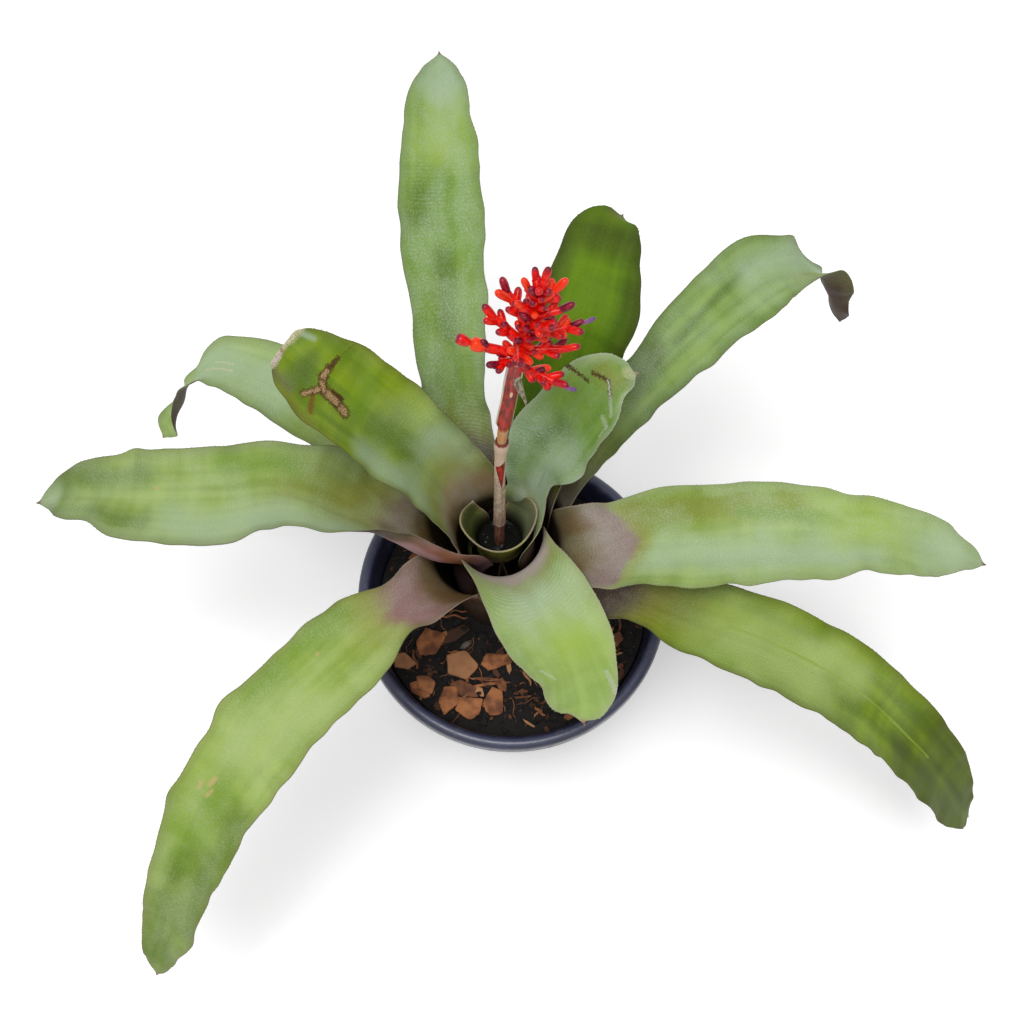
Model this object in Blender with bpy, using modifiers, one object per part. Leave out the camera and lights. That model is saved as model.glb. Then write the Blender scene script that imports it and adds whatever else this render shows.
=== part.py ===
"""Flowering aechmea in a plastic nursery pot.

A tank bromeliad: eleven strap leaves whose sheaths nest around a short stock, a heart leaf
rolled into a water cup, and a flower stem with papery bracts and a loose head of berries.
Lengths in the tables are millimetres. The pot stands on z = 0 with its axis on the z axis.
"""
import math
import random

import bmesh
import bpy
from mathutils import Matrix, Vector

MM = 0.001

# ---- pot ----
RIM_RADIUS = 100.0
POT_HEIGHT = 150.0
BASE_RADIUS = 76.0
POT_WALL = 1.8
LIP_DEPTH = 13.0
LIP_WIDTH = 8.5
LIP_TOP = 4.0
LIP_ROUND = 2.5
POT_FLOOR = 2.5
FOOT_ROUND = 2.0
DRAIN_HOLES = 6
DRAIN_RADIUS = 5.0
DRAIN_CIRCLE = 52.0
DRAIN_SIDES = 10
POT_STEPS = 40

# ---- potting mix, stock and chips ----
FIT_GAP = 0.3
SOIL_TOP = 124.0
SOIL_STEPS = 32
MIX_CLEARANCE = 0.8
STOCK_RADIUS = 11.5
STOCK_BOTTOM = 70.0
STOCK_TOP = 160.0
STOCK_STEPS = 20
STOCK_TAPER = 4.0
CHIP_THICKNESS = 4.0
CHIP_SIDES = 6
CHIP_TOP = 0.42
CHIP_JITTER = (0.82, 1.12)
CHIP_SEED = 7
CHIPS = [
    # x, y, length, width, turn in degrees
    (-55.0, -26.0, 21.0, 14.0, 60.0),
    (-71.0, -38.0, 14.0, 10.0, -30.0),
    (-33.0, -41.0, 22.0, 15.0, -35.0),
    (-11.0, -38.0, 20.0, 9.0, 15.0),
    (-41.0, -63.0, 19.0, 12.0, 75.0),
    (-27.0, -68.0, 17.0, 12.0, 10.0),
    (-12.0, -66.0, 19.0, 11.0, 70.0),
    (-56.0, -53.0, 15.0, 9.0, -30.0),
    (64.0, -26.0, 18.0, 9.0, 25.0),
]

# ---- rosette ----
PLANT_X, PLANT_Y = -7.5, 14.0
SHEATH_FOOT = SOIL_TOP + 0.4
SHEATH_CLEARANCE = 0.9
SHEATH_PITCH = 2.0
SHEATH_FLARE = 7.0
SHEATH_ROWS = (0.0, 0.5, 1.0)
SHEATH_WRAP_LIMIT = 112.0
LEAF_THICKNESS = 1.1
LEAF_COLUMNS = 10
ROWS_PER_SPAN = 1.5
SLOPE_STEP = 0.01

# ---- flower stem ----
STEM_ROUTE = [
    # x and y from the plant's axis, height, radius
    (0.0, -1.0, STOCK_TOP + FIT_GAP, 3.6),
    (0.0, -1.0, 224.0, 3.6),
    (0.5, 8.0, 279.0, 3.4),
    (0.8, 16.0, 325.0, 3.3),
    (1.5, 22.0, 362.0, 3.5),
    (5.0, 27.0, 388.0, 3.8),
    (7.0, 30.5, 407.0, 3.6),
    (10.0, 34.0, 424.0, 3.2),
    (13.5, 38.0, 442.0, 2.7),
    (18.0, 42.5, 461.0, 2.0),
    (21.0, 47.0, 478.0, 1.4),
]
STEM_POINTS = 24
BRACT_COLUMNS = 6
BRACT_ROWS = 4
BRACT_TAPER = 0.75
BRACT_THICKNESS = 0.7
BRACT_CLEARANCE = 0.5
BRACTS = [
    # name, start and end shares of the stem, facing and half wrap in degrees, tip lift
    ("stem_bract_lower", 0.13, 0.27, 70.0, 120.0, 0.4),
    ("stem_bract_middle", 0.28, 0.42, 250.0, 110.0, 0.5),
    ("stem_bract_upper", 0.43, 0.53, 100.0, 95.0, 0.9),
    ("dried_bract", 0.545, 0.62, 330.0, 55.0, 4.0),
]

# ---- flower head ----
HEAD_START = 0.68
BRANCHES = [
    # share of the head's height, facing (0 left, 90 front, 180 right), rise, length
    (0.00, 148.0, 8.0, 20.0),
    (0.06, 25.0, 10.0, 9.0),
    (0.15, 356.0, 10.0, 25.0),
    (0.20, 180.0, 12.0, 21.0),
    (0.27, 80.0, 25.0, 13.0),
    (0.33, 338.0, 28.0, 18.0),
    (0.38, 190.0, 20.0, 22.0),
    (0.46, 268.0, 20.0, 11.0),
    (0.52, 318.0, 34.0, 19.0),
    (0.58, 120.0, 38.0, 10.0),
    (0.64, 184.0, 30.0, 13.0),
    (0.72, 20.0, 36.0, 8.0),
    (0.80, 205.0, 38.0, 10.0),
    (0.86, 345.0, 45.0, 7.0),
    (0.93, 300.0, 50.0, 6.0),
    (1.00, 240.0, 66.0, 5.0),
]
STALK_RADIUS = 1.0
BERRY_LENGTH = 7.5
BERRY_RADIUS = 2.3
BERRY_START = 6.5
BERRY_SPACING = 4.4
BERRY_SPLAY = 0.9
BERRY_SEAT = 0.42
STALK_SIDES = 6

# Each leaf is a list of stations from the top of its sheath to its tip:
# reach from the plant's axis, azimuth in degrees, height, half width along the surface,
# half angle of the channel in degrees. The rank counts outward from the heart.
LEAVES = {
    "heart_leaf": (0, 212.0, 275, 36.0, [
        (17.5, 275, 231, 45.5, 140), (14.5, 275, 245, 45.5, 138), (15.0, 275, 253, 44.0, 122)]),
    "leaf_inner_right": (1, 210.0, 42, 36.0, [
        (24.5, 41, 246, 28, 70), (30, 42, 274, 28, 62), (42, 42, 304, 28, 50),
        (57, 41.5, 331, 26, 42), (70, 40.5, 350, 22, 34), (81, 39, 358, 14, 26),
        (88, 38, 357, 7, 16), (93, 37, 353, 2, 10)]),
    "leaf_upper_left": (2, 210.0, 150, 36.0, [
        (28.5, 150, 246, 33, 70), (38, 150, 276, 31, 58), (56, 151, 306, 30, 46),
        (80, 152, 334, 31, 40), (105, 153, 358, 29, 34), (122, 153.5, 371, 22, 28),
        (130, 154, 376, 13, 20), (135, 154.5, 378, 5, 10)]),
    "leaf_front": (3, 205.0, 290, 34.0, [
        (27.5, 290, 236, 31, 66), (34, 291.5, 252, 30, 56), (50, 293.5, 264, 31.5, 42),
        (70, 295.6, 266, 31.5, 34), (91, 297, 257, 28, 28), (108, 297.4, 245, 20.5, 22),
        (117, 297, 236, 11, 16), (122, 296, 230, 2, 10)]),
    "leaf_back_inner": (4, 210.0, 60, 30.0, [
        (38, 60, 256, 26, 58), (62, 61, 296, 28, 48), (90, 62.2, 330, 29, 38),
        (116, 64, 354, 28, 32), (138, 65.5, 366, 24, 28), (151, 67, 370, 16, 24),
        (158, 67.2, 370, 9, 20), (162, 66.5, 366, 2, 10)]),
    "leaf_right": (5, 200.0, -22, 32.0, [
        (44, -20, 244, 30, 60), (78, -11, 268, 31, 42), (116, -8, 280, 32, 32),
        (156, -5.6, 284, 30, 28), (200, -4.0, 279, 27, 26), (240, -3.0, 263, 21, 24),
        (268, -2.9, 246, 13, 20), (282, -2.7, 235, 7, 16), (292, -2.9, 226, 2, 10)]),
    "leaf_left": (6, 200.0, 160, 42.0, [
        (42, 160, 244, 31, 68), (78, 169, 270, 29, 44), (118, 175, 286, 28, 34),
        (158, 178.0, 291, 29, 30), (202, 178.2, 286, 28.5, 28), (238, 176.8, 271, 23, 24),
        (257, 176, 258, 15, 20), (268, 175.8, 248, 7, 16), (277, 176, 241, 2, 10)]),
    "leaf_back": (7, 195.0, 116, 30.0, [
        (48, 114, 244, 21, 46), (80, 109.5, 282, 20.5, 38), (118, 104.8, 308, 23.5, 32),
        (162, 101.8, 320, 24.5, 28), (208, 99.6, 322, 24, 26), (248, 98.4, 316, 20.5, 24),
        (275, 97.7, 307, 13, 20), (287, 97.4, 302, 7, 16), (295, 97.3, 298, 2, 10)]),
    "leaf_front_left": (8, 190.0, 216, 40.0, [
        (44, 221, 236, 26, 62), (78, 222.5, 260, 24, 44), (120, 223.4, 272, 27, 34),
        (164, 223.4, 268, 28, 30), (212, 224.8, 250, 27.5, 28), (256, 226.5, 219, 24.5, 26),
        (292, 228.3, 180, 18.5, 24), (313, 228.8, 148, 13, 20), (321, 229.2, 134, 7, 16),
        (327, 229.4, 120, 2, 10)]),
    "leaf_back_right": (9, 185.0, 42, 24.0, [
        (48, 44, 236, 20, 48), (86, 43.5, 270, 19, 40), (125, 42, 294, 20.5, 36),
        (168, 41.8, 306, 24, 32), (212, 42, 302, 24.5, 32), (239, 40, 288, 16, 34),
        (255, 38.5, 266, 12, 38), (263, 36, 240, 9, 30), (266, 35, 224, 2, 10)]),
    "leaf_front_right": (10, 180.0, -38, 24.0, [
        (49, -32.5, 221, 22, 44), (84, -28.6, 248, 22, 38), (124, -27.2, 260, 24.5, 32),
        (170, -25.0, 256, 26.5, 28), (218, -24.3, 238, 26.5, 26), (267, -25, 200, 25, 24),
        (304, -25.2, 160, 22, 22), (325, -25.6, 130, 14.5, 20), (333, -25.8, 116, 8, 16),
        (337, -26, 106, 2, 10)]),
    "leaf_back_left": (11, 180.0, 152, 28.0, [
        (56, 151, 224, 23, 46), (94, 149, 256, 22, 38), (132, 148, 274, 21, 34),
        (166, 148, 278, 20, 32), (192, 149.5, 268, 16, 34), (210, 152.5, 244, 12, 30),
        (219, 156, 214, 9, 20), (223, 158, 194, 2, 10)]),
}


def clear_scene():
    for item in list(bpy.data.objects):
        bpy.data.objects.remove(item, do_unlink=True)


def new_collection(name):
    collection = bpy.data.collections.new(name)
    bpy.context.scene.collection.children.link(collection)
    return collection


def principled(name, colour, roughness, metallic=0.0):
    material = bpy.data.materials.new(name)
    material.use_nodes = True
    shader = material.node_tree.nodes["Principled BSDF"]
    shader.inputs["Base Color"].default_value = (*colour, 1.0)
    shader.inputs["Roughness"].default_value = roughness
    shader.inputs["Metallic"].default_value = metallic
    return material


def add_object(name, data, collection, material):
    item = bpy.data.objects.new(name, data)
    collection.objects.link(item)
    data.materials.append(material)
    return item


def mesh_from(bm, name):
    mesh = bpy.data.meshes.new(name)
    bm.to_mesh(mesh)
    bm.free()
    return mesh


def thickened(name, bm, thickness, collection, material):
    """Object from an open sheet, given its thickness in millimetres about the middle surface."""
    for face in bm.faces:
        face.smooth = True
    item = add_object(name, mesh_from(bm, name), collection, material)
    shell = item.modifiers.new("thickness", "SOLIDIFY")
    shell.thickness = thickness * MM
    shell.offset = 0.0
    return item


def combine(item, name, bm, operation, cutters, material):
    """Apply a boolean with a hidden tool object made from bm, whose lengths are millimetres."""
    bmesh.ops.scale(bm, vec=(MM, MM, MM), verts=bm.verts)
    tool = add_object(name, mesh_from(bm, name), cutters, material)
    tool.hide_render = True
    tool.display_type = "WIRE"
    boolean = item.modifiers.new(name, "BOOLEAN")
    boolean.operation = operation
    boolean.solver = "EXACT"
    boolean.use_self = operation == "UNION"
    boolean.object = tool


def turned(name, profile, steps, collection, material):
    """Solid of revolution about z from an open (radius, height) profile in millimetres."""
    bm = bmesh.new()
    points = [bm.verts.new((radius * MM, 0.0, height * MM)) for radius, height in profile]
    for start, end in zip(points, points[1:]):
        bm.edges.new((start, end))
    item = add_object(name, mesh_from(bm, name), collection, material)
    screw = item.modifiers.new("turn", "SCREW")
    screw.steps = steps
    screw.render_steps = steps
    screw.use_merge_vertices = True
    screw.merge_threshold = 1e-5
    screw.use_normal_calculate = True
    screw.use_smooth_shade = True
    return item


def smooth_between(rows, position):
    """Catmull-Rom value between table rows; position runs from 0 at the first to 1 at the last."""
    last = len(rows) - 1
    span = min(int(position * last), last - 1)
    t = position * last - span
    before, start = rows[max(span - 1, 0)], rows[span]
    end, after = rows[span + 1], rows[min(span + 2, last)]
    return [0.5 * (2 * b + (c - a) * t + (2 * a - 5 * b + 4 * c - d) * t ** 2
                   + (3 * b - a - 3 * c + d) * t ** 3)
            for a, b, c, d in zip(before, start, end, after)]


def leaf_rows(rank, sheath_top, azimuth, sheath_half, blade):
    """Sheath stations worked out from the rank, followed by the blade's own stations."""
    foot_radius = STOCK_RADIUS + SHEATH_CLEARANCE + rank * SHEATH_PITCH
    rows = []
    for share in SHEATH_ROWS:
        radius = foot_radius + SHEATH_FLARE * share
        wrap = min(math.degrees(sheath_half / radius), SHEATH_WRAP_LIMIT)
        height = SHEATH_FOOT + (sheath_top - SHEATH_FOOT) * share
        rows.append((radius, azimuth, height, radius * math.radians(wrap), wrap))
    return rows + blade


def midrib_point(rows, along):
    reach, azimuth, height, half_width, wrap = smooth_between(rows, along)
    angle = math.radians(azimuth)
    point = Vector((PLANT_X + reach * math.cos(angle), PLANT_Y + reach * math.sin(angle), height))
    return point, angle, half_width, math.radians(wrap)


def leaf_point(rows, along, across):
    """Point of the leaf's middle surface; across runs from -1 to 1 between the margins."""
    point, angle, half_width, wrap = midrib_point(rows, along)
    ahead = midrib_point(rows, min(along + SLOPE_STEP, 1.0))[0]
    behind = midrib_point(rows, max(along - SLOPE_STEP, 0.0))[0]
    tangent = (ahead - behind).normalized()
    outward = Vector((math.cos(angle), math.sin(angle), 0.0))
    uprightness = max(tangent.z, 0.0) ** 2
    heading = Vector((tangent.x, tangent.y, 0.0)) + outward * uprightness / 2
    side = Vector((0.0, 0.0, 1.0)).cross(heading).normalized()
    inward = tangent.cross(side).normalized()
    radius = half_width / wrap
    turn = wrap * across
    return point + side * radius * math.sin(turn) + inward * radius * (1.0 - math.cos(turn))


def build_leaf(name, rank, sheath_top, azimuth, sheath_half, blade, collection, material):
    rows = leaf_rows(rank, sheath_top, azimuth, sheath_half, blade)
    segments = round(ROWS_PER_SPAN * (len(rows) - 1))
    bm = bmesh.new()
    bmesh.ops.create_grid(bm, x_segments=LEAF_COLUMNS, y_segments=segments, size=1.0)
    for vertex in bm.verts:
        along = (vertex.co.y + 1.0) / 2.0
        vertex.co = leaf_point(rows, along, vertex.co.x) * MM
    return thickened(name, bm, LEAF_THICKNESS, collection, material)


def build_leaves(collection, material):
    for name, (rank, sheath_top, azimuth, sheath_half, blade) in LEAVES.items():
        build_leaf(name, rank, sheath_top, azimuth, sheath_half, blade, collection, material)


def stem_at(share):
    """Centre and radius of the flower stem at a share of its length."""
    x, y, height, radius = smooth_between(STEM_ROUTE, share)
    return Vector((PLANT_X + x, PLANT_Y + y, height)), radius


def stem_frame(share):
    """Centre, radius, direction and two side directions of the flower stem."""
    centre, radius = stem_at(share)
    ahead = stem_at(min(share + SLOPE_STEP, 1.0))[0]
    behind = stem_at(max(share - SLOPE_STEP, 0.0))[0]
    direction = (ahead - behind).normalized()
    side = direction.cross(Vector((0.0, 1.0, 0.0))).normalized()
    return centre, radius, direction, side, direction.cross(side)


def build_stem(collection, material):
    curve = bpy.data.curves.new("flower_stem", "CURVE")
    curve.dimensions = "3D"
    curve.bevel_depth = MM
    curve.bevel_resolution = 2
    curve.use_fill_caps = True
    spline = curve.splines.new("POLY")
    spline.points.add(STEM_POINTS - 1)
    for index, point in enumerate(spline.points):
        centre, radius = stem_at(index / (STEM_POINTS - 1))
        point.co = (*(centre * MM), 1.0)
        point.radius = radius
    return add_object("flower_stem", curve, collection, material)


def build_bracts(collection, material):
    """Papery sheaths clasping the stem; the last one has come loose and hangs outward."""
    for name, start, end, facing, half_wrap, lift in BRACTS:
        bm = bmesh.new()
        bmesh.ops.create_grid(bm, x_segments=BRACT_COLUMNS, y_segments=BRACT_ROWS, size=1.0)
        for vertex in bm.verts:
            along = (vertex.co.y + 1.0) / 2.0
            centre, radius, direction, side, front = stem_frame(start + (end - start) * along)
            taper = 1.0 - BRACT_TAPER * along ** 3
            turn = math.radians(facing + half_wrap * vertex.co.x * taper)
            reach = radius + BRACT_CLEARANCE + BRACT_THICKNESS / 2 + lift * along ** 2
            vertex.co = (centre + reach * (side * math.cos(turn) + front * math.sin(turn))) * MM
        thickened(name, bm, BRACT_THICKNESS, collection, material)


def berry_matrix(base, direction):
    """Matrix that lays a berry with its near end at base and its long axis along direction."""
    turn = direction.to_track_quat("Z", "Y").to_matrix().to_4x4()
    size = Matrix.Diagonal((BERRY_RADIUS, BERRY_RADIUS, BERRY_LENGTH / 2, 1.0))
    return Matrix.Translation(base + direction * BERRY_LENGTH * BERRY_SEAT) @ turn @ size


def build_branch(index, collection, cutters, material):
    """One side branch of the head: a thin stalk with berries set alternately along it."""
    share, facing, rise, length = BRANCHES[index]
    centre, radius, direction, side, front = stem_frame(HEAD_START + (1.0 - HEAD_START) * share)
    angle, rise = math.radians(facing), math.radians(rise)
    outward = side * math.cos(angle) + front * math.sin(angle)
    axis = outward * math.cos(rise) + direction * math.sin(rise)
    across = axis.cross(direction).normalized()
    start = centre + outward * (radius + FIT_GAP + STALK_RADIUS * math.sin(rise))
    name = "head_branch_%02d" % (index + 1)
    bm = bmesh.new()
    middle = start + axis * length / 2
    place = Matrix.Translation(middle) @ axis.to_track_quat("Z", "Y").to_matrix().to_4x4()
    bmesh.ops.create_cone(bm, cap_ends=True, segments=STALK_SIDES, radius1=STALK_RADIUS,
                          radius2=STALK_RADIUS, depth=length, matrix=place)
    bmesh.ops.scale(bm, vec=(MM, MM, MM), verts=bm.verts)
    stalk = add_object(name, mesh_from(bm, name), collection, material)
    bm = bmesh.new()
    spots = [(start + axis * length, axis)]
    side_berries = max(0, round((length - BERRY_START) / BERRY_SPACING))
    for step in range(side_berries):
        base = start + axis * (BERRY_START + step * BERRY_SPACING)
        lean = across if step % 2 else -across
        spots.append((base, (axis + lean * BERRY_SPLAY).normalized()))
    for base, heading in spots:
        bmesh.ops.create_uvsphere(bm, u_segments=6, v_segments=5, radius=1.0,
                                  matrix=berry_matrix(base, heading))
    combine(stalk, name + "_berries", bm, "UNION", cutters, material)


def build_pot(collection, cutters, material):
    inner_rim = RIM_RADIUS - LIP_WIDTH
    profile = [
        (0.0, 0.0), (BASE_RADIUS - FOOT_ROUND, 0.0), (BASE_RADIUS, FOOT_ROUND),
        (inner_rim + POT_WALL, POT_HEIGHT - LIP_TOP), (RIM_RADIUS - POT_WALL, POT_HEIGHT - LIP_TOP),
        (RIM_RADIUS - POT_WALL, POT_HEIGHT - LIP_DEPTH), (RIM_RADIUS, POT_HEIGHT - LIP_DEPTH),
        (RIM_RADIUS, POT_HEIGHT - LIP_ROUND), (RIM_RADIUS - LIP_ROUND, POT_HEIGHT),
        (inner_rim + LIP_ROUND, POT_HEIGHT), (inner_rim, POT_HEIGHT - LIP_ROUND),
        (BASE_RADIUS - POT_WALL, POT_FLOOR), (0.0, POT_FLOOR)]
    pot = turned("nursery_pot", profile, POT_STEPS, collection, material)
    bm = bmesh.new()
    for index in range(DRAIN_HOLES):
        angle = 2 * math.pi * index / DRAIN_HOLES
        place = Matrix.Translation((DRAIN_CIRCLE * math.cos(angle), DRAIN_CIRCLE * math.sin(angle),
                                    POT_FLOOR / 2))
        bmesh.ops.create_cone(bm, cap_ends=True, segments=DRAIN_SIDES, radius1=DRAIN_RADIUS,
                              radius2=DRAIN_RADIUS, depth=POT_FLOOR * 4, matrix=place)
    combine(pot, "drain_holes", bm, "DIFFERENCE", cutters, material)


def wall_radius(height):
    """Inner radius of the pot at a height."""
    share = (height - POT_FLOOR) / (POT_HEIGHT - LIP_ROUND - POT_FLOOR)
    low, high = BASE_RADIUS - POT_WALL, RIM_RADIUS - LIP_WIDTH
    return low + (high - low) * share


def build_mix(collection, cutters, material):
    """Potting mix filling the pot, with a socket for the stock."""
    bottom = POT_FLOOR + FIT_GAP
    profile = [(0.0, bottom), (wall_radius(bottom) - MIX_CLEARANCE, bottom),
               (wall_radius(SOIL_TOP) - MIX_CLEARANCE, SOIL_TOP), (0.0, SOIL_TOP)]
    mix = turned("potting_mix", profile, SOIL_STEPS, collection, material)
    socket_radius = STOCK_RADIUS + 2 * FIT_GAP
    socket_bottom = STOCK_BOTTOM - FIT_GAP
    depth = 2 * (SOIL_TOP - socket_bottom)
    place = Matrix.Translation((PLANT_X, PLANT_Y, socket_bottom + depth / 2))
    bm = bmesh.new()
    bmesh.ops.create_cone(bm, cap_ends=True, segments=STOCK_STEPS, radius1=socket_radius,
                          radius2=socket_radius, depth=depth, matrix=place)
    combine(mix, "stock_socket", bm, "DIFFERENCE", cutters, material)


def build_stock(collection, material):
    tip = STOCK_RADIUS - STOCK_TAPER
    profile = [(0.0, STOCK_BOTTOM), (tip, STOCK_BOTTOM),
               (STOCK_RADIUS, STOCK_BOTTOM + 2 * STOCK_TAPER),
               (STOCK_RADIUS, STOCK_TOP - 2 * STOCK_TAPER), (tip, STOCK_TOP), (0.0, STOCK_TOP)]
    stock = turned("stock", profile, STOCK_STEPS, collection, material)
    stock.location = (PLANT_X * MM, PLANT_Y * MM, 0.0)


def build_chips(collection, material):
    """Flat angular bark chips lying on the mix."""
    random.seed(CHIP_SEED)
    for index, (x, y, length, width, turn) in enumerate(CHIPS):
        bm = bmesh.new()
        bmesh.ops.create_cone(bm, cap_ends=True, segments=CHIP_SIDES, radius1=0.5,
                              radius2=CHIP_TOP, depth=1.0)
        for vertex in bm.verts:
            vertex.co.x *= random.uniform(*CHIP_JITTER)
            vertex.co.y *= random.uniform(*CHIP_JITTER)
        bmesh.ops.scale(bm, vec=(length * MM, width * MM, CHIP_THICKNESS * MM), verts=bm.verts)
        name = "bark_chip_%d" % (index + 1)
        chip = add_object(name, mesh_from(bm, name), collection, material)
        chip.rotation_euler.z = math.radians(turn)
        chip.location = (x * MM, y * MM, (SOIL_TOP + FIT_GAP + CHIP_THICKNESS / 2) * MM)


def main():
    clear_scene()
    plant = new_collection("aechmea")
    cutters = new_collection("cutters")
    leaf_green = principled("leaf_green", (0.30, 0.42, 0.12), 0.45)
    pot_plastic = principled("pot_plastic", (0.020, 0.023, 0.045), 0.35)
    soil_black = principled("soil_black", (0.020, 0.013, 0.010), 0.95)
    stock_brown = principled("stock_brown", (0.14, 0.09, 0.06), 0.8)
    stem_red = principled("stem_red", (0.45, 0.03, 0.03), 0.4)
    bract_paper = principled("bract_paper", (0.55, 0.43, 0.32), 0.8)
    berry_red = principled("berry_red", (0.75, 0.03, 0.02), 0.3)
    bark = principled("bark", (0.32, 0.13, 0.06), 0.85)
    build_pot(plant, cutters, pot_plastic)
    build_mix(plant, cutters, soil_black)
    build_stock(plant, stock_brown)
    build_leaves(plant, leaf_green)
    build_stem(plant, stem_red)
    build_bracts(plant, bract_paper)
    for index in range(len(BRANCHES)):
        build_branch(index, plant, cutters, berry_red)
    build_chips(plant, bark)


main()
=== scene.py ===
# %% [markdown]
# # A flowering aechmea, dressed over its solids
#
# An aechmea is a tank bromeliad. Its strap leaves grow from one short stock, their broad bases
# nest in each other, and the innermost leaf rolls into a cup that holds water. A flower stem
# rises out of the cup and ends in a loose head of red berries. The plant stands in a dark
# plastic nursery pot.
#
# The solids that come with the model fix every place and size. This script makes each visible
# piece again with a finer surface in the same place. Lengths in the tables are millimetres,
# and every mesh is turned into metres when it is made.

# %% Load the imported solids
import math

import bpy
import numpy as np
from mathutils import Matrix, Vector


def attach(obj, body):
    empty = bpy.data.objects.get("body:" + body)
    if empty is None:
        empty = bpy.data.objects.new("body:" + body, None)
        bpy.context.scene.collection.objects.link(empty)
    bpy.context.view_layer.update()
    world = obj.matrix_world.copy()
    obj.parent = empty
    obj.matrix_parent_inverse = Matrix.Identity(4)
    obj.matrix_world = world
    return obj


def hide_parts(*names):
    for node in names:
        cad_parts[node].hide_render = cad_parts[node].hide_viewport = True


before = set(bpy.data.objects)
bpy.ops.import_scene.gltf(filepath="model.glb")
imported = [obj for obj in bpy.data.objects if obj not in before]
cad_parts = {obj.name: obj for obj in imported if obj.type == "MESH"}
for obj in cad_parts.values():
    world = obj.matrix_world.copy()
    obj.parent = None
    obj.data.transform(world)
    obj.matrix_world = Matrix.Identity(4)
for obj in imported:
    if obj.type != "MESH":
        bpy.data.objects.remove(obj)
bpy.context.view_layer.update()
MM = 0.001

# %% [markdown]
# ## Camera
#
# The plant is looked at from high above its front, which shows the rosette as a star and still
# lets the flower stem stand up. A 60 mm lens at a little over a metre keeps the near leaves
# from looking too large.

# %% Camera
CAMERA_HEIGHT = 1.217
CAMERA_BACK = 0.290
CAMERA_TILT = 18.0

camera_data = bpy.data.cameras.new("camera")
camera_data.lens = 60.0
camera = bpy.data.objects.new("camera", camera_data)
camera.location = (0.0, -CAMERA_BACK, CAMERA_HEIGHT)
camera.rotation_euler = (math.radians(CAMERA_TILT), 0.0, 0.0)
bpy.context.scene.collection.objects.link(camera)
bpy.context.scene.camera = camera
print("camera looks down at", 90.0 - CAMERA_TILT, "degrees")

# %% [markdown]
# ## Colours and node trees
#
# Colours are written the way a paint program shows them, from 0 to 255, and are turned into
# the linear values that Blender mixes. Two small classes keep the node trees readable. A board
# adds nodes to one tree, with a short call for each kind, and a wire is what comes out of a
# node. Wires can be added and multiplied like numbers: each sum or product adds the Math node
# that works it out, so a finish reads like a formula.

# %% Colours
def srgb(red, green, blue):
    """Linear colour with alpha from red, green and blue written from 0 to 255."""
    shares = [value / 255.0 for value in (red, green, blue)]
    linear = [s / 12.92 if s <= 0.04045 else ((s + 0.055) / 1.055) ** 2.4 for s in shares]
    return (*linear, 1.0)

# %% Wires and boards
class Wire:
    """What comes out of a node; sums and products of wires add Math nodes."""

    def __init__(self, board, socket):
        self.board, self.socket = board, socket

    def __add__(self, other):
        return self.board.math("ADD", self, other)

    def __sub__(self, other):
        return self.board.math("SUBTRACT", self, other)

    def __rsub__(self, other):
        return self.board.math("SUBTRACT", other, self)

    def __mul__(self, other):
        return self.board.math("MULTIPLY", self, other)

    def __truediv__(self, other):
        return self.board.math("DIVIDE", self, other)


class Board:
    """A node tree with one short call for each kind of node that the finishes use."""

    def __init__(self, tree):
        self.tree = tree

    def put(self, socket, value):
        """Feed an input with a wire or set it to a plain value."""
        if isinstance(value, Wire):
            self.tree.links.new(value.socket, socket)
        else:
            socket.default_value = value

    def node(self, kind, *values, **settings):
        """A new node with its settings made and its first inputs filled."""
        made = self.tree.nodes.new(kind)
        for name, value in settings.items():
            setattr(made, name, value)
        for socket, value in zip(made.inputs, values):
            self.put(socket, value)
        return made

    def wire(self, kind, *values, output=0, **settings):
        """One output of a new node."""
        return Wire(self, self.node(kind, *values, **settings).outputs[output])

    def wires(self, made):
        """All outputs of a node by their names."""
        return {socket.name: Wire(self, socket) for socket in made.outputs}

    def math(self, operation, *values):
        return self.wire("ShaderNodeMath", *values, operation=operation)

    def vector_math(self, operation, *values, output="Vector"):
        return self.wire("ShaderNodeVectorMath", *values, output=output, operation=operation)

    def vector(self, x, y, z=0.0):
        return self.wire("ShaderNodeCombineXYZ", x, y, z)

    def stretch(self, vector, scale, shift=(0.0, 0.0, 0.0)):
        return self.vector_math("MULTIPLY_ADD", vector, scale, shift)

    def field(self, name):
        """A measure that the mesh keeps at its points."""
        return self.wire("ShaderNodeAttribute", output="Fac", attribute_name=name)

    def noise(self, vector, scale=1.0, detail=2.0, roughness=0.5):
        made = self.node("ShaderNodeTexNoise")
        for name, value in (("Vector", vector), ("Scale", scale), ("Detail", detail),
                            ("Roughness", roughness)):
            self.put(made.inputs[name], value)
        return Wire(self, made.outputs["Fac"])

    def rise(self, value, low, high):
        """0 below low, 1 above high, and a smooth slope between them."""
        return self.wire("ShaderNodeMapRange", value, low, high, interpolation_type="SMOOTHSTEP")

    def fall(self, value, low, high):
        return 1.0 - self.rise(value, low, high)

    def blend(self, share, first, second, mode="MIX"):
        made = self.node("ShaderNodeMix", data_type="RGBA", blend_type=mode)
        for index, value in ((0, share), (6, first), (7, second)):
            self.put(made.inputs[index], value)
        return Wire(self, made.outputs[2])

    def place(self, group, **values):
        """A node group with its named inputs filled; an underscore stands for a space."""
        made = self.node("ShaderNodeGroup", node_tree=group)
        for name, value in values.items():
            self.put(made.inputs[name.replace("_", " ")], value)
        return self.wires(made)

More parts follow.
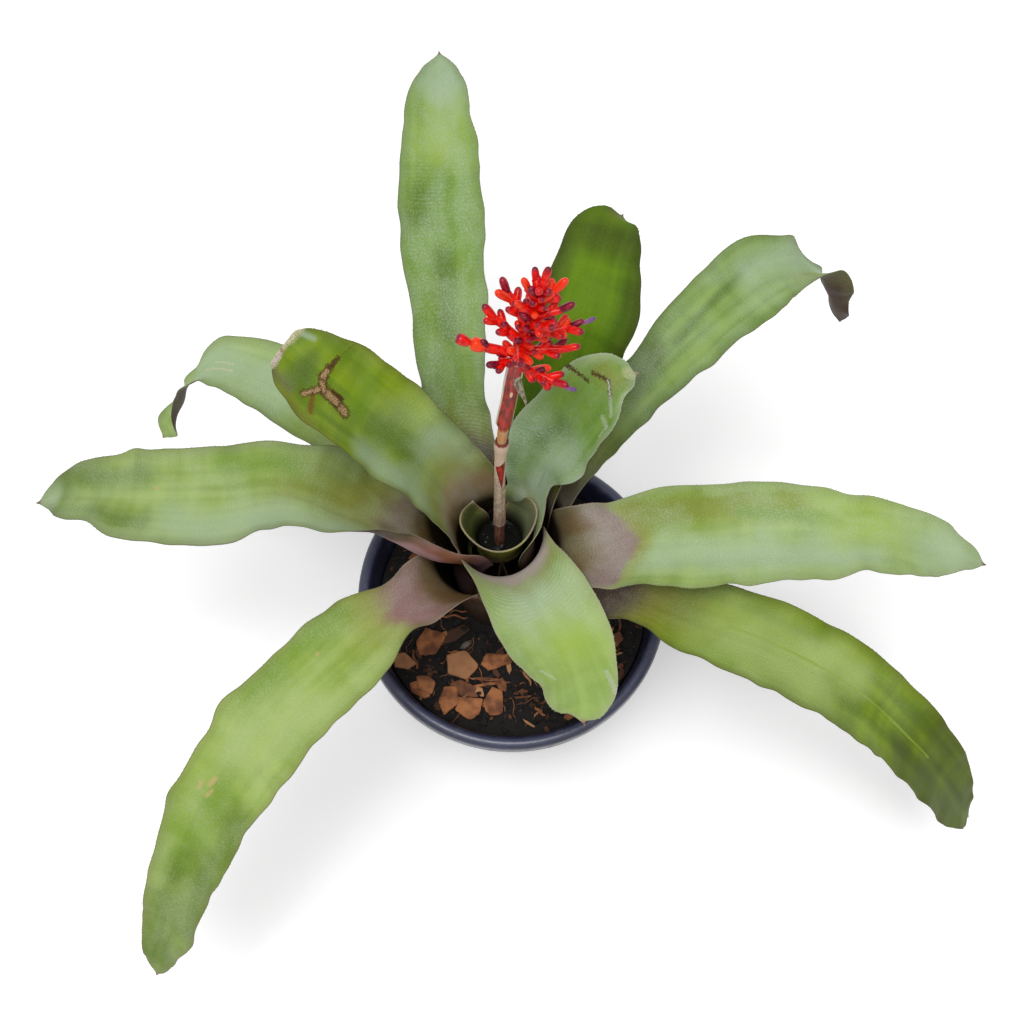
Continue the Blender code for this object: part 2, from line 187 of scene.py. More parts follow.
# %% Groups and finishes
def new_group(name, inputs, outputs):
    """Board, inputs by name and output sockets of a new node group."""
    tree = bpy.data.node_groups.new(name, "ShaderNodeTree")
    for label, kind, value in inputs:
        socket = tree.interface.new_socket(name=label, in_out="INPUT", socket_type="NodeSocket" + kind)
        socket.default_value = value
    for label, kind in outputs:
        tree.interface.new_socket(name=label, in_out="OUTPUT", socket_type="NodeSocket" + kind)
    board = Board(tree)
    return board, board.wires(board.node("NodeGroupInput")), board.node("NodeGroupOutput").inputs


def new_finish(name, gloss=0.5):
    """A new material with its board and main shader; gloss is how strongly it mirrors."""
    material = bpy.data.materials.new(name)
    material.use_nodes = True
    shader = material.node_tree.nodes["Principled BSDF"]
    shader.inputs["Specular IOR Level"].default_value = gloss
    return material, Board(material.node_tree), shader


def dress_shader(board, shader, colour, roughness, height, depth):
    """Feed a shader; depth is the height of the bumps in millimetres."""
    bump = board.node("ShaderNodeBump")
    board.put(bump.inputs["Height"], height)
    board.put(bump.inputs["Distance"], depth * MM)
    for name, value in (("Base Color", colour), ("Roughness", roughness),
                        ("Normal", Wire(board, bump.outputs["Normal"]))):
        board.put(shader.inputs[name], value)

# %% [markdown]
# ## Floor and light
#
# The plant stands on a plain white floor in soft light. One broad sun from nearly overhead gives
# the leaves their shape and the pot a faint shadow, and a white surround fills the rest. Their
# strengths add up so that a flat upward surface shows its colour about as it is written. The
# floor glows a little where it is looked at, so only the deepest shade stays visible on it.

# %% Floor and light
FLOOR_REACH = 6.0
FLOOR_WHITE = 0.97
FLOOR_GLOW = 0.22
WHITE = (1.0, 1.0, 1.0, 1.0)


def seen_straight(board):
    """1 for rays that come from the eye, from a mirror-like surface or through a clear one."""
    rays = board.wires(board.node("ShaderNodeLightPath"))
    mirrored = board.math("MAXIMUM", rays["Is Glossy Ray"], rays["Is Transmission Ray"])
    return board.math("MAXIMUM", rays["Is Camera Ray"], mirrored)


floor_mesh = bpy.data.meshes.new("floor")
corners = [(x * FLOOR_REACH, y * FLOOR_REACH, 0.0) for x, y in ((-1, -1), (1, -1), (1, 1), (-1, 1))]
floor_mesh.from_pydata(corners, [], [(0, 1, 2, 3)])
floor = bpy.data.objects.new("floor", floor_mesh)
bpy.context.scene.collection.objects.link(floor)
floor_white, board, shader = new_finish("floor white", gloss=0.1)
for name, value in (("Base Color", (FLOOR_WHITE, FLOOR_WHITE, FLOOR_WHITE, 1.0)), ("Roughness", 0.9),
                    ("Emission Color", WHITE), ("Emission Strength", seen_straight(board) * FLOOR_GLOW)):
    board.put(shader.inputs[name], value)
floor_mesh.materials.append(floor_white)

# %% Sun and surround
SUN_STRENGTH = 1.80
SUN_SOFTNESS = 26.0
SUN_FROM = (-0.10, -0.15, 1.0)
SKY_STRENGTH = 0.44

sun_data = bpy.data.lights.new("sun", "SUN")
sun_data.energy = SUN_STRENGTH
sun_data.angle = math.radians(SUN_SOFTNESS)
sun = bpy.data.objects.new("sun", sun_data)
sun.rotation_euler = Vector(SUN_FROM).to_track_quat("Z", "Y").to_euler()
bpy.context.scene.collection.objects.link(sun)

world = bpy.data.worlds.new("surround")
world.use_nodes = True
board = Board(world.node_tree)
surround = world.node_tree.nodes["Background"]
board.put(surround.inputs["Color"], WHITE)
board.put(surround.inputs["Strength"], seen_straight(board) * (1.0 - SKY_STRENGTH) + SKY_STRENGTH)
bpy.context.scene.world = world
bpy.context.scene.view_settings.view_transform = "Standard"
print("sun", SUN_STRENGTH, "surround", SKY_STRENGTH)

# %% [markdown]
# ## Mesh helpers
#
# A leaf or a bract is a thin sheet with two faces, so it is made from two matching grids of
# points, one for each face, joined round the border. Each point also keeps a few measures, such
# as how far it is from the leaf's base and from its margin. The finishes read those measures,
# so a stain or a margin stays in its place on the leaf.

# %% Smooth tables and random lines
def smooth_between(rows, positions):
    """Catmull-Rom values between table rows; positions run from 0 at the first to 1 at the last."""
    rows = np.asarray(rows, float)
    last = len(rows) - 1
    span = np.minimum((positions * last).astype(int), last - 1)
    t = (positions * last - span)[:, None]
    before, start, end, after = (rows[np.clip(span + step, 0, last)] for step in (-1, 0, 1, 2))
    return 0.5 * (2 * start + (end - before) * t
                  + (2 * before - 5 * start + 4 * end - after) * t ** 2
                  + (3 * start - before - 3 * end + after) * t ** 3)


def wander(distance, wavelength, seed):
    """A smooth random line between about -1 and 1, for waves and ripples."""
    phases = np.random.default_rng(seed).random(3)
    total = 0.0
    for phase, speed in zip(phases, (1.0, 1.63, 2.71)):
        total = total + np.sin(2 * np.pi * (distance / wavelength * speed + phase)) / speed
    return total / 1.7


def unit(vectors):
    return vectors / np.linalg.norm(vectors, axis=-1, keepdims=True)

# %% Meshes from point grids
class Heap:
    """Gathers closed bodies, with their measures, into one mesh."""

    def __init__(self):
        self.points, self.faces, self.measures, self.total = [], [], {}, 0

    def add(self, points, faces, **measures):
        points = np.asarray(points, float).reshape(-1, 3)
        self.points.append(points)
        self.faces += [tuple(index + self.total for index in face) for face in faces]
        for name, value in measures.items():
            full = np.broadcast_to(np.asarray(value, float), (len(points),))
            self.measures.setdefault(name, []).append(full)
        self.total += len(points)

    def build(self, name, material=None, crease=50.0):
        """Object in metres, smooth shaded except over edges sharper than crease degrees."""
        mesh = bpy.data.meshes.new(name)
        mesh.from_pydata((np.concatenate(self.points) * MM).tolist(), [], self.faces)
        if material:
            mesh.materials.append(material)
        for label, values in self.measures.items():
            attribute = mesh.attributes.new(label, "FLOAT", "POINT")
            attribute.data.foreach_set("value", np.concatenate(values).astype(np.float32))
        mesh.shade_smooth()
        mesh.set_sharp_from_angle(angle=math.radians(crease))
        made = bpy.data.objects.new(name, mesh)
        bpy.context.scene.collection.objects.link(made)
        return made


def sheet_faces(rows, columns):
    """Faces of a closed sheet whose upper grid of points is followed by its lower grid."""
    grid = np.arange(rows * columns).reshape(rows, columns)
    near, far = grid[:-1], grid[1:]
    upper = np.stack([near[:, :-1], far[:, :-1], far[:, 1:], near[:, 1:]], -1)
    border = np.concatenate([grid[0, :-1], grid[:-1, -1], grid[-1, :0:-1], grid[:0:-1, 0]])
    onward = np.roll(border, -1)
    shift = rows * columns
    lower = upper[..., ::-1] + shift
    rim = np.stack([border, onward, onward + shift, border + shift], -1)
    return np.concatenate([part.reshape(-1, 4) for part in (upper, lower, rim)]).tolist()

# %% Tubes
# a direction that no tube follows, from which its first side direction is found
NO_TUBES_WAY = (0.0, 0.3, 0.95)


def tube(path, radii, sides):
    """Rings of points round a path, and the faces that close them into a tube."""
    path = np.asarray(path, float)
    along = unit(np.gradient(path, axis=0))
    first = np.cross(along[0], NO_TUBES_WAY)
    turn = 2 * np.pi * np.arange(sides) / sides
    rings = []
    for point, direction, radius in zip(path, along, np.broadcast_to(radii, (len(path),))):
        first = unit(first - direction * np.dot(first, direction))
        second = np.cross(direction, first)
        rings.append(point + radius * (np.outer(np.cos(turn), first) + np.outer(np.sin(turn), second)))
    faces = []
    for ring in range(len(path) - 1):
        for side in range(sides):
            a, b = ring * sides + side, ring * sides + (side + 1) % sides
            faces.append((a, b, b + sides, a + sides))
    last = (len(path) - 1) * sides
    faces.append(tuple(range(sides - 1, -1, -1)))
    faces.append(tuple(range(last, last + sides)))
    return np.concatenate(rings), faces

# %% Single bodies, and what a piece stands for
def one_body(name, points, faces, material=None, crease=50.0, **measures):
    """An object that is a single closed body."""
    heap = Heap()
    heap.add(points, faces, **measures)
    return heap.build(name, material, crease)


def stand_for(piece, slot, *nodes):
    """The piece takes the place of these solids and moves with the plant."""
    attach(piece, "root")
    if nodes:
        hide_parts(*nodes)
    return piece

# %% [markdown]
# ## Where the leaves run
#
# Each leaf is a strip that starts as a steep sheath round the stock and opens into a long
# blade. Its midrib is a list of stations, and its cross section is an arc whose half angle says
# how deep the channel is. The table repeats the solids' stations, so the fine leaf lies where
# the plain one does. The rank counts outward from the heart, which is how the sheaths nest.

# %% Leaf stations
PLANT_PLACE = np.array((-7.5, 14.0, 0.0))
SOIL_TOP = 124.0
SHEATH_FOOT = SOIL_TOP + 0.4
STOCK_RADIUS = 11.5
SHEATH_CLEARANCE = 0.9
SHEATH_PITCH = 2.0
SHEATH_FLARE = 7.0
SHEATH_ROWS = (0.0, 0.5, 1.0)
SHEATH_WRAP_LIMIT = 112.0
SLOPE_STEP = 0.01

# rank, sheath top, sheath azimuth, sheath half breadth, then the blade's stations:
# reach from the plant's axis, azimuth in degrees, height, half width, half angle of the channel
LEAVES = {
    "heart_leaf": (0, 212.0, 275, 36.0, [
        (14.0, 275, 229, 39.0, 164), (14.0, 275, 243, 50.0, 164), (15.5, 275, 253, 57.5, 158)]),
    "leaf_inner_right": (1, 210.0, 42, 36.0, [
        (22.0, 41, 245, 35, 100), (26.5, 41.5, 260, 26, 66), (32, 42, 278, 25, 58), (43, 42, 306, 28, 50),
        (57, 41.5, 331, 26, 42), (70, 40.5, 350, 22, 34), (81, 39, 358, 14, 26),
        (88, 38, 357, 7, 16), (93, 37, 353, 2, 10)]),
    "leaf_upper_left": (2, 210.0, 150, 36.0, [
        (28.5, 150, 246, 33, 70), (38, 150, 276, 31, 58), (56, 151, 306, 30, 46),
        (80, 152, 334, 31, 40), (103, 152.8, 357, 28.5, 34), (117, 152.5, 368, 23.5, 28),
        (126, 152, 373.6, 18, 22), (131, 151.8, 376.6, 11, 16)]),
    "leaf_front": (3, 205.0, 290, 34.0, [
        (27.5, 290, 240, 31, 66), (34, 291.5, 252, 30, 56), (50, 293.5, 264, 31.5, 42),
        (70, 295.6, 266, 31.5, 34), (91, 296.6, 257, 28, 28), (108, 296.2, 245, 20.5, 22),
        (117, 295.2, 236, 11, 16), (122, 293.8, 230, 2, 10)]),
    "leaf_back_inner": (4, 210.0, 60, 30.0, [
        (38, 60, 256, 26, 58), (62, 61, 296, 28, 48), (90, 62.2, 330, 29, 38),
        (116, 64, 354, 28, 32), (138, 65.0, 365, 24, 28), (151, 65.4, 368, 17, 24),
        (158, 65.4, 367, 10, 20), (162, 65.0, 363, 2, 10)]),
    "leaf_right": (5, 200.0, -22, 32.0, [
        (44, -20, 244, 30, 60), (78, -11, 268, 31, 42), (116, -8, 280, 32, 32),
        (156, -5.6, 284, 30, 28), (200, -4.0, 279, 27, 26), (240, -3.0, 263, 21, 24),
        (268, -2.9, 246, 13, 20), (282, -2.7, 235, 7, 16), (292, -2.9, 226, 2, 10)]),
    "leaf_left": (6, 200.0, 170, 42.0, [
        (46, 189, 236, 38, 84), (78, 180.5, 263, 32, 58), (118, 175.6, 285, 28, 36),
        (158, 178.0, 291, 29, 30), (202, 178.2, 286, 28.5, 28), (238, 176.8, 271, 23, 24),
        (257, 176, 258, 15, 20), (268, 175.8, 248, 7, 16), (277, 176, 241, 2, 10)]),
    "leaf_back": (7, 195.0, 116, 30.0, [
        (48, 114, 244, 21, 46), (80, 109.5, 282, 20.5, 38), (118, 104.8, 308, 23.5, 32),
        (162, 101.8, 320, 24.5, 28), (208, 99.6, 322, 24, 26), (248, 98.4, 316, 20.5, 24),
        (275, 97.7, 307, 13, 20), (287, 97.4, 302, 7, 16), (295, 97.3, 298, 2, 10)]),
    "leaf_front_left": (8, 190.0, 216, 40.0, [
        (47, 221, 232, 25, 62), (78, 222.5, 260, 24, 44), (120, 223.4, 272, 27, 34),
        (164, 223.4, 268, 28, 30), (212, 224.8, 250, 27.5, 28), (256, 226.5, 219, 24.5, 26),
        (292, 228.3, 180, 18.5, 24), (313, 228.8, 148, 13, 20), (321, 229.2, 134, 7, 16),
        (327, 229.4, 120, 2, 10)]),
    "leaf_back_right": (9, 185.0, 42, 24.0, [
        (48, 44, 236, 20, 48), (86, 43.5, 270, 19, 40), (125, 42, 294, 20.5, 36),
        (168, 41.8, 306, 24, 32), (206, 41.6, 303, 24.5, 32), (230, 39.5, 294, 17, 36),
        (247, 37.9, 281, 12, 46), (252, 36.6, 261, 12, 44), (256, 35.0, 241, 9, 34),
        (260, 34.2, 226, 2, 10)]),
    "leaf_front_right": (10, 180.0, -38, 24.0, [
        (49, -32.5, 221, 22, 44), (84, -28.6, 248, 22, 38), (124, -27.2, 260, 24.5, 32),
        (170, -25.0, 256, 26.5, 28), (218, -24.3, 238, 26.5, 26), (267, -25, 200, 25, 24),
        (304, -25.9, 160, 22, 22), (325, -26.4, 130, 14.5, 20), (333, -26.4, 116, 8, 16),
        (337, -26.3, 106, 2, 10)]),
    "leaf_back_left": (11, 180.0, 152, 28.0, [
        (56, 151, 224, 23, 46), (94, 149, 256, 22, 38), (132, 148, 274, 21, 34),
        (166, 148, 278, 20, 32), (195, 150.5, 273, 14.5, 34), (209, 154.3, 258, 8, 44),
        (216, 156.5, 230, 8, 40), (225, 158.2, 206, 8, 26), (230, 159.5, 192, 2, 10)]),
}
print("leaves:", len(LEAVES))


def leaf_rows(rank, sheath_top, azimuth, sheath_half, blade):
    """Sheath stations worked out from the rank, followed by the blade's own stations."""
    foot_radius = STOCK_RADIUS + SHEATH_CLEARANCE + rank * SHEATH_PITCH
    rows = []
    for share in SHEATH_ROWS:
        radius = foot_radius + SHEATH_FLARE * share
        wrap = min(math.degrees(sheath_half / radius), SHEATH_WRAP_LIMIT)
        height = SHEATH_FOOT + (sheath_top - SHEATH_FOOT) * share
        rows.append((radius, azimuth, height, radius * math.radians(wrap), wrap))
    return rows + blade

# %% [markdown]
# ## The shape of a leaf
#
# The midrib is a smooth curve through the stations. At every step along it stands a small frame
# of three directions: along the leaf, across it and up from it. The cross section is drawn in
# that frame, so the leaf bends and leans without being torn or twisted.

# %% Leaf frames
LEAF_PITCH = 1.6
SHEATH_STEP = 6.0
DENSE_STEPS = 800


def midrib(rows, positions):
    reach, azimuth, height, half_width, wrap = smooth_between(rows, positions).T
    angle = np.radians(azimuth)
    outward = np.stack([np.cos(angle), np.sin(angle), 0 * angle], -1)
    point = outward * reach[:, None] + PLANT_PLACE + height[:, None] * (0.0, 0.0, 1.0)
    return point, outward, half_width, np.radians(wrap)


def leaf_frames(rows, positions):
    """Midrib points, the directions along, across and up from them, half widths and wraps."""
    point, outward, half_width, wrap = midrib(rows, positions)
    ahead = midrib(rows, np.minimum(positions + SLOPE_STEP, 1.0))[0]
    behind = midrib(rows, np.maximum(positions - SLOPE_STEP, 0.0))[0]
    along = unit(ahead - behind)
    uprightness = np.maximum(along[:, 2:], 0.0) ** 2
    heading = along * (1.0, 1.0, 0.0) + outward * uprightness / 2
    side = unit(np.cross((0.0, 0.0, 1.0), heading))
    return point, along, side, unit(np.cross(along, side)), half_width, wrap


def leaf_stations(rows):
    """Positions of the mesh rows, closer in the blade, and their distances past the sheath."""
    dense = np.linspace(0.0, 1.0, DENSE_STEPS)
    path = midrib(rows, dense)[0]
    run = np.concatenate([[0.0], np.cumsum(np.linalg.norm(np.diff(path, axis=0), axis=1))])
    foot = np.interp(len(SHEATH_ROWS) / (len(rows) - 1), dense, run)
    fine_start = foot - 4 * SHEATH_STEP
    steps = np.concatenate([np.arange(0.0, fine_start, SHEATH_STEP),
                            np.arange(fine_start, run[-1], LEAF_PITCH), run[-1:]])
    return np.interp(steps, run, dense), steps - foot

# %% [markdown]
# ## Margins, waves and lobes
#
# A real blade is not an even strip. Its margins swell and draw in, lift and dip. A shallow
# channel follows the midrib, and fine pleats run beside it along the veins. All of that is
# added to the smooth strip and fades out in the sheath, where the leaves press against each
# other. The rolled heart leaf has no waves, but its mouth flares into two lobes.

# %% Margins, waves and lobes
MARGIN_WANDER = 0.6
MARGIN_LIFT = 1.3
BROAD_WAVE = 0.9
# wavelengths of the left and right margins' outlines, of their lifts, and of the whole blade
OUTLINE_WAVES = (62.0, 57.0)
LIFT_WAVES = (47.0, 41.0)
BLADE_WAVE = 83.0
CHANNEL_DEPTH = 0.7
CHANNEL_WIDTH = 3.2
PLEAT_DEPTH = 0.06
PLEAT_WIDTH = 5.2
BLUNTNESS = 3.0
BLUNT_PLACE, BLUNT_SPREAD = 14.0, 12.0
# distances past the sheath between which the blade unfolds, and length of its tapering end
UNFOLDS = (-8.0, 45.0)
TAPER = 30.0
LOBE_PLACE = 0.62
LOBE_BREADTH = 0.16
LOBE_FLARE = 2.2
LOBE_RISE = 2.5
LOBE_DIP = 12.0
DIP_BEGINS = 0.70
RIM_DEPTH = 26.0


def ease(value, low, high):
    """0 at low, 1 at high and a smooth slope between them, also when high is the smaller."""
    share = np.clip((value - low) / (high - low), 0.0, 1.0)
    return share * share * (3 - 2 * share)


def rolled(side, up, distance, rolls):
    """The directions across and up, turned about the midrib."""
    angle = sum((ease(distance, start, end) * math.radians(degrees) for start, end, degrees in rolls),
                0.0 * distance)[:, None]
    return side * np.cos(angle) - up * np.sin(angle), up * np.cos(angle) + side * np.sin(angle)


def margin_push(distance, across, seed, swells, bluntness, cup):
    """How far the margins are pushed outward."""
    blade = ease(distance, *UNFOLDS)
    left, right = (MARGIN_WANDER * wander(distance, length, seed + step) * blade
                   for step, length in enumerate(OUTLINE_WAVES))
    for sign, centre, spread, push in swells:
        swell = push * np.exp(-((distance - centre) / spread) ** 2)
        left, right = left + swell * (sign > 0), right + swell * (sign < 0)
    push = np.where(across > 0, left[:, None], right[:, None])
    if cup:
        return push
    to_tip = distance[-1] - distance
    blunt = bluntness * np.exp(-((to_tip - BLUNT_PLACE) / BLUNT_SPREAD) ** 2) * ease(to_tip, 2.0, 9.0)
    return push * ease(to_tip, 0.0, TAPER)[:, None] + blunt[:, None]


def surface_lift(distance, across, breadth, seed, waviness):
    """Waves of the blade and of its margins, the channel and the pleats."""
    left, right = (wander(distance, length, seed + 2 + step)[:, None]
                   for step, length in enumerate(LIFT_WAVES))
    lift = np.where(across > 0, left, right) * np.abs(across) ** 3 * MARGIN_LIFT
    lift = lift + BROAD_WAVE * wander(distance, BLADE_WAVE, seed + 4)[:, None]
    relief = PLEAT_DEPTH * np.cos(2 * np.pi * breadth / PLEAT_WIDTH)
    relief = relief - CHANNEL_DEPTH * np.exp(-(breadth / CHANNEL_WIDTH) ** 2)
    fading = ease(distance, *UNFOLDS)[:, None] * ease(distance[-1] - distance, 0.0, TAPER)[:, None]
    return (lift * waviness + relief) * fading


def mouth_lobes(distance, across):
    """How far the cup's mouth flares outward, and how far it rises."""
    rim = ease(distance[-1] - distance, RIM_DEPTH, 0.0)[:, None]
    lobes = np.exp(-((np.abs(across) - LOBE_PLACE) / LOBE_BREADTH) ** 2)
    dips = ease(np.abs(across), DIP_BEGINS, 1.0)
    return rim * lobes * LOBE_FLARE, rim * (lobes * LOBE_RISE - dips * LOBE_DIP)

# %% Leaf sheet
LEAF_COLUMNS = 36
LEAF_THICKNESS = 1.1


def leaf_sheet(rows, seed, swells, waviness, cup, rolls, bluntness):
    """Upper and lower points of a leaf, its measures, and what its spines need."""
    positions, distance = leaf_stations(rows)
    point, along, side, up, half_width, wrap = leaf_frames(rows, positions)
    side, up = rolled(side, up, distance, rolls)
    across = np.linspace(-1.0, 1.0, LEAF_COLUMNS + 1)[None, :]
    breadth = half_width[:, None] * across
    push = margin_push(distance, across, seed, swells, bluntness, cup)
    lift = surface_lift(distance, across, breadth, seed, waviness)
    flare, rise = mouth_lobes(distance, across) if cup else (0.0, 0.0)
    lift = lift - flare
    radius = (half_width / wrap)[:, None]
    turn = wrap[:, None] * across * (1.0 + push / half_width[:, None])
    sine, cosine = np.sin(turn)[..., None], np.cos(turn)[..., None]
    normal = up[:, None] * cosine - side[:, None] * sine
    outward = side[:, None] * cosine + up[:, None] * sine
    middle = (point[:, None] + side[:, None] * radius[..., None] * sine
              + up[:, None] * radius[..., None] * (1.0 - cosine) + normal * lift[..., None])
    middle[..., 2] += rise
    thickness = LEAF_THICKNESS * (1.0 - 0.6 * np.abs(across) ** 5)[..., None] / 2
    to_tip = (distance[-1] - distance)[:, None] + 0 * across
    edge = np.minimum(half_width[:, None] * (1.0 - np.abs(across)), to_tip)
    measures = {"along": distance[:, None] + 0 * across, "across": breadth, "edge": edge,
                "to_tip": to_tip}
    margins = [(middle[:, column], sign * outward[:, column], along, normal[:, column], distance)
               for column, sign in ((0, -1.0), (-1, 1.0))]
    return middle + normal * thickness, middle - normal * thickness, measures, margins

# %% [markdown]
# ## Spines
#
# The margins carry a row of small dark spines that lean towards the tip of the leaf. Dots of
# colour would leave its outline smooth, so each spine is a little pyramid. The gaps and sizes
# vary, as they do on a real leaf.

# %% Spines along the margins
SPINE_GAP = 3.1
SPINE_LENGTH = 0.85
SPINE_OUT, SPINE_AHEAD = 0.85, 0.55
FIRST_SPINE = 4.0
SPINELESS_TIP = 8.0
SPINE_FACES = [(0, 1, 4), (1, 2, 4), (2, 3, 4), (3, 0, 4), (3, 2, 1, 0)]


def add_spines(heap, margin, seed):
    """Small dark spines that lean towards the leaf's tip."""
    points, outward, along, normal, distance = margin
    random = np.random.default_rng(seed)
    place = FIRST_SPINE
    while place < distance[-1] - SPINELESS_TIP:
        row = int(np.searchsorted(distance, place))
        root = points[row] - outward[row] * 0.25
        size = SPINE_LENGTH * random.uniform(0.6, 1.1)
        tip = root + (outward[row] * SPINE_OUT + along[row] * SPINE_AHEAD) * size
        foot, breadth = along[row] * 0.5 * size, normal[row] * 0.22
        corners = [root - foot - breadth, root + foot - breadth, root + foot + breadth,
                   root - foot + breadth, tip]
        if np.dot(np.cross(along[row], normal[row]), outward[row]) < 0:
            corners = [corners[index] for index in (3, 2, 1, 0, 4)]
        heap.add(corners, SPINE_FACES, along=place, across=0.0, edge=0.0,
                 to_tip=distance[-1] - place, upper=1.0)
        place += SPINE_GAP * random.uniform(0.75, 1.3)

# %% [markdown]
# ## Leaf skin
#
# The skin of this plant has four layers of colour. Soft patches of deeper and lighter green come
# first. The base of each leaf is stained mauve, with a rounded border that fades through olive
# into the green, and at its foot the stain turns olive brown, partly the leaf's own colour and
# partly painted shade. Silvery scales, called scurf, lie over both as fine grit, and in places the
# grit gathers in rows that run across the leaf. Last comes a thin line along the margin, pale
# near the base and dark further out. The underside is darker, olive to purple brown. Deep between
# the sheaths everything turns a wet brown, which is partly the sheaths' own colour and partly
# painted shade. The colours could be painted on an image, but formulas stay sharp at any distance
# and follow the leaf when its shape changes. One node group holds all of that, and each leaf fills
# it with its own colours and amounts.

# %% Leaf skin group
PALE_MARGIN = srgb(186, 170, 148)
TIP_BROWN = srgb(120, 80, 66)
UNDER_OLIVE = srgb(92, 94, 54)
UNDER_PURPLE = srgb(72, 52, 40)
UNDER_MAUVE = srgb(182, 140, 146)
UNDER_RUST = srgb(152, 100, 72)
# partly the sheaths' own wet brown and partly painted shade, for the deep gaps between them
WET_BROWN_AND_SHADE = srgb(24, 18, 11)
UNDER_SILVER = srgb(136, 126, 116)
# olive brown at the stain's foot, partly the leaf's own colour and partly painted shade
FOOT_OLIVE_AND_SHADE = srgb(118, 88, 46)
STAIN_HALO = srgb(152, 144, 56)
STAIN_BLOOM = srgb(188, 164, 172)
SCURF_PITCH = 2.5
# shares of broad patches, long stripes and cross bands in the green
GREEN_MIX = (0.42, 0.34, 0.24)
STAIN_BOW = 0.016
STAIN_FRAY = 26.0
ROW_SWAY = 5.0
SEED_STRIDE = 17.3


